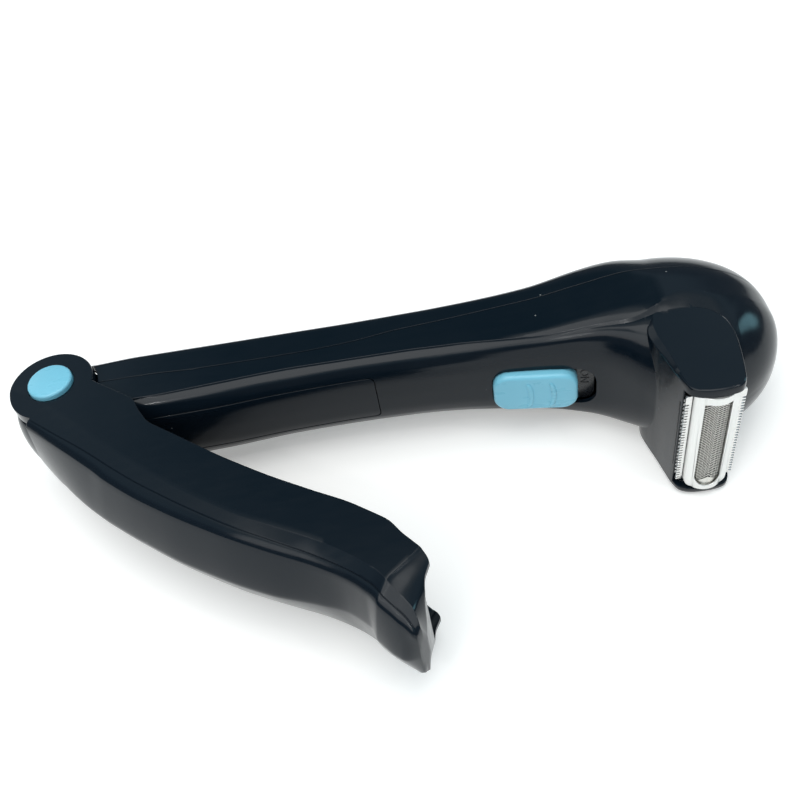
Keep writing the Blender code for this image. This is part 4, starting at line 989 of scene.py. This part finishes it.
floorMesh = bmesh.new()
bmesh.ops.create_circle(floorMesh, cap_ends=True, segments=96, radius=6.0)
mesh = bpy.data.meshes.new("floor")
floorMesh.to_mesh(mesh)
floorMesh.free()
floor = bpy.data.objects.new("floor", mesh)
bpy.context.scene.collection.objects.link(floor)
floor.location.z = cadBounds[0][2] - 0.0002
floorLook, nodes, links, shader = newMaterial("floorLook")
nodes.remove(shader)
output = nodes["Material Output"]
diffuse = nodes.new("ShaderNodeBsdfDiffuse")
diffuse.inputs["Color"].default_value = (*studio["floorColour"], 1.0)
glow = nodes.new("ShaderNodeEmission")
glow.inputs["Color"].default_value = (1.0, 0.985, 0.95, 1.0)
path = nodes.new("ShaderNodeLightPath")
seen = path.outputs["Is Camera Ray"]
for ray in ("Is Glossy Ray", "Is Transmission Ray"):
    either = nodes.new("ShaderNodeMath")
    either.operation = "MAXIMUM"
    links.new(seen, either.inputs[0])
    links.new(path.outputs[ray], either.inputs[1])
    seen = either.outputs[0]
amount = nodes.new("ShaderNodeMath")
amount.operation = "MULTIPLY"
links.new(seen, amount.inputs[0])
amount.inputs[1].default_value = studio["lift"]
links.new(amount.outputs[0], glow.inputs["Strength"])
both = nodes.new("ShaderNodeAddShader")
links.new(diffuse.outputs[0], both.inputs[0])
links.new(glow.outputs[0], both.inputs[1])
links.new(both.outputs[0], output.inputs["Surface"])
floor.data.materials.append(floorLook)

world = bpy.data.worlds.new("studioWorld")
bpy.context.scene.world = world
world.use_nodes = True
nodes, links = world.node_tree.nodes, world.node_tree.links
backdrop = nodes["Background"]
where = nodes.new("ShaderNodeTexCoord")
split = nodes.new("ShaderNodeSeparateXYZ")
links.new(where.outputs["Generated"], split.inputs["Vector"])
sky = nodes.new("ShaderNodeValToRGB")
first, last = sky.color_ramp.elements
for stop, (place, colour) in ((first, studio["room"][0]), (last, studio["room"][-1])):
    stop.position, stop.color = place, (*colour, 1.0)
for place, colour in studio["room"][1:-1]:
    sky.color_ramp.elements.new(place).color = (*colour, 1.0)
links.new(split.outputs["Z"], sky.inputs["Fac"])
shown = sky.outputs["Color"]
for colour, direction, start, full in studio["cards"]:
    towards = nodes.new("ShaderNodeVectorMath")
    towards.operation = "DOT_PRODUCT"
    links.new(where.outputs["Generated"], towards.inputs[0])
    towards.inputs[1].default_value = direction
    card = nodes.new("ShaderNodeMix")
    card.data_type = "RGBA"
    links.new(spread(nodes, links, towards.outputs["Value"], 0.0, 1.0, start, full), card.inputs["Factor"])
    links.new(shown, card.inputs["A"])
    card.inputs["B"].default_value = (*colour, 1.0)
    shown = card.outputs["Result"]
links.new(shown, backdrop.inputs["Color"])
backdrop.inputs["Strength"].default_value = 1.0


def lamp(name, place, size, power, colour=(1.0, 1.0, 1.0)):
    light = bpy.data.lights.new(name, "AREA")
    light.shape = "SQUARE"
    light.size = size
    light.energy = power
    light.color = colour
    made = bpy.data.objects.new(name, light)
    bpy.context.scene.collection.objects.link(made)
    made.location = place
    made.rotation_euler = (-Vector(place)).to_track_quat("-Z", "Y").to_euler()


lamp("keyLamp", (-0.9, -1.1, 1.3), 1.2, 9.0, (1.0, 0.985, 0.96))
lamp("topLamp", (0.0, -0.2, 1.7), 1.4, 12.0)
lamp("leftGlint", (-0.45, -0.75, 1.1), 0.05, 0.7)
lamp("rightGlint", (0.75, -0.45, 1.15), 0.05, 0.6)

# fitted to the photo: focal length, place, and the ways that are right, up and back in the picture
picture = {
    "lens": 42.75, "at": (0.0165, -0.1926, 0.2705),
    "ways": ((0.987498, -0.086395, -0.131849), (0.152649, 0.732781, 0.663125), (0.039326, -0.674962, 0.736806)),
}
camera = bpy.data.cameras.new("camera")
camera.lens = picture["lens"]
camera.sensor_width = 36.0
camera.clip_start = 0.01
view = bpy.data.objects.new("camera", camera)
bpy.context.scene.collection.objects.link(view)
view.matrix_world = Matrix.Translation(picture["at"]) @ Matrix(picture["ways"]).transposed().to_4x4()
bpy.context.scene.camera = view
bpy.context.scene.view_settings.view_transform = "Standard"
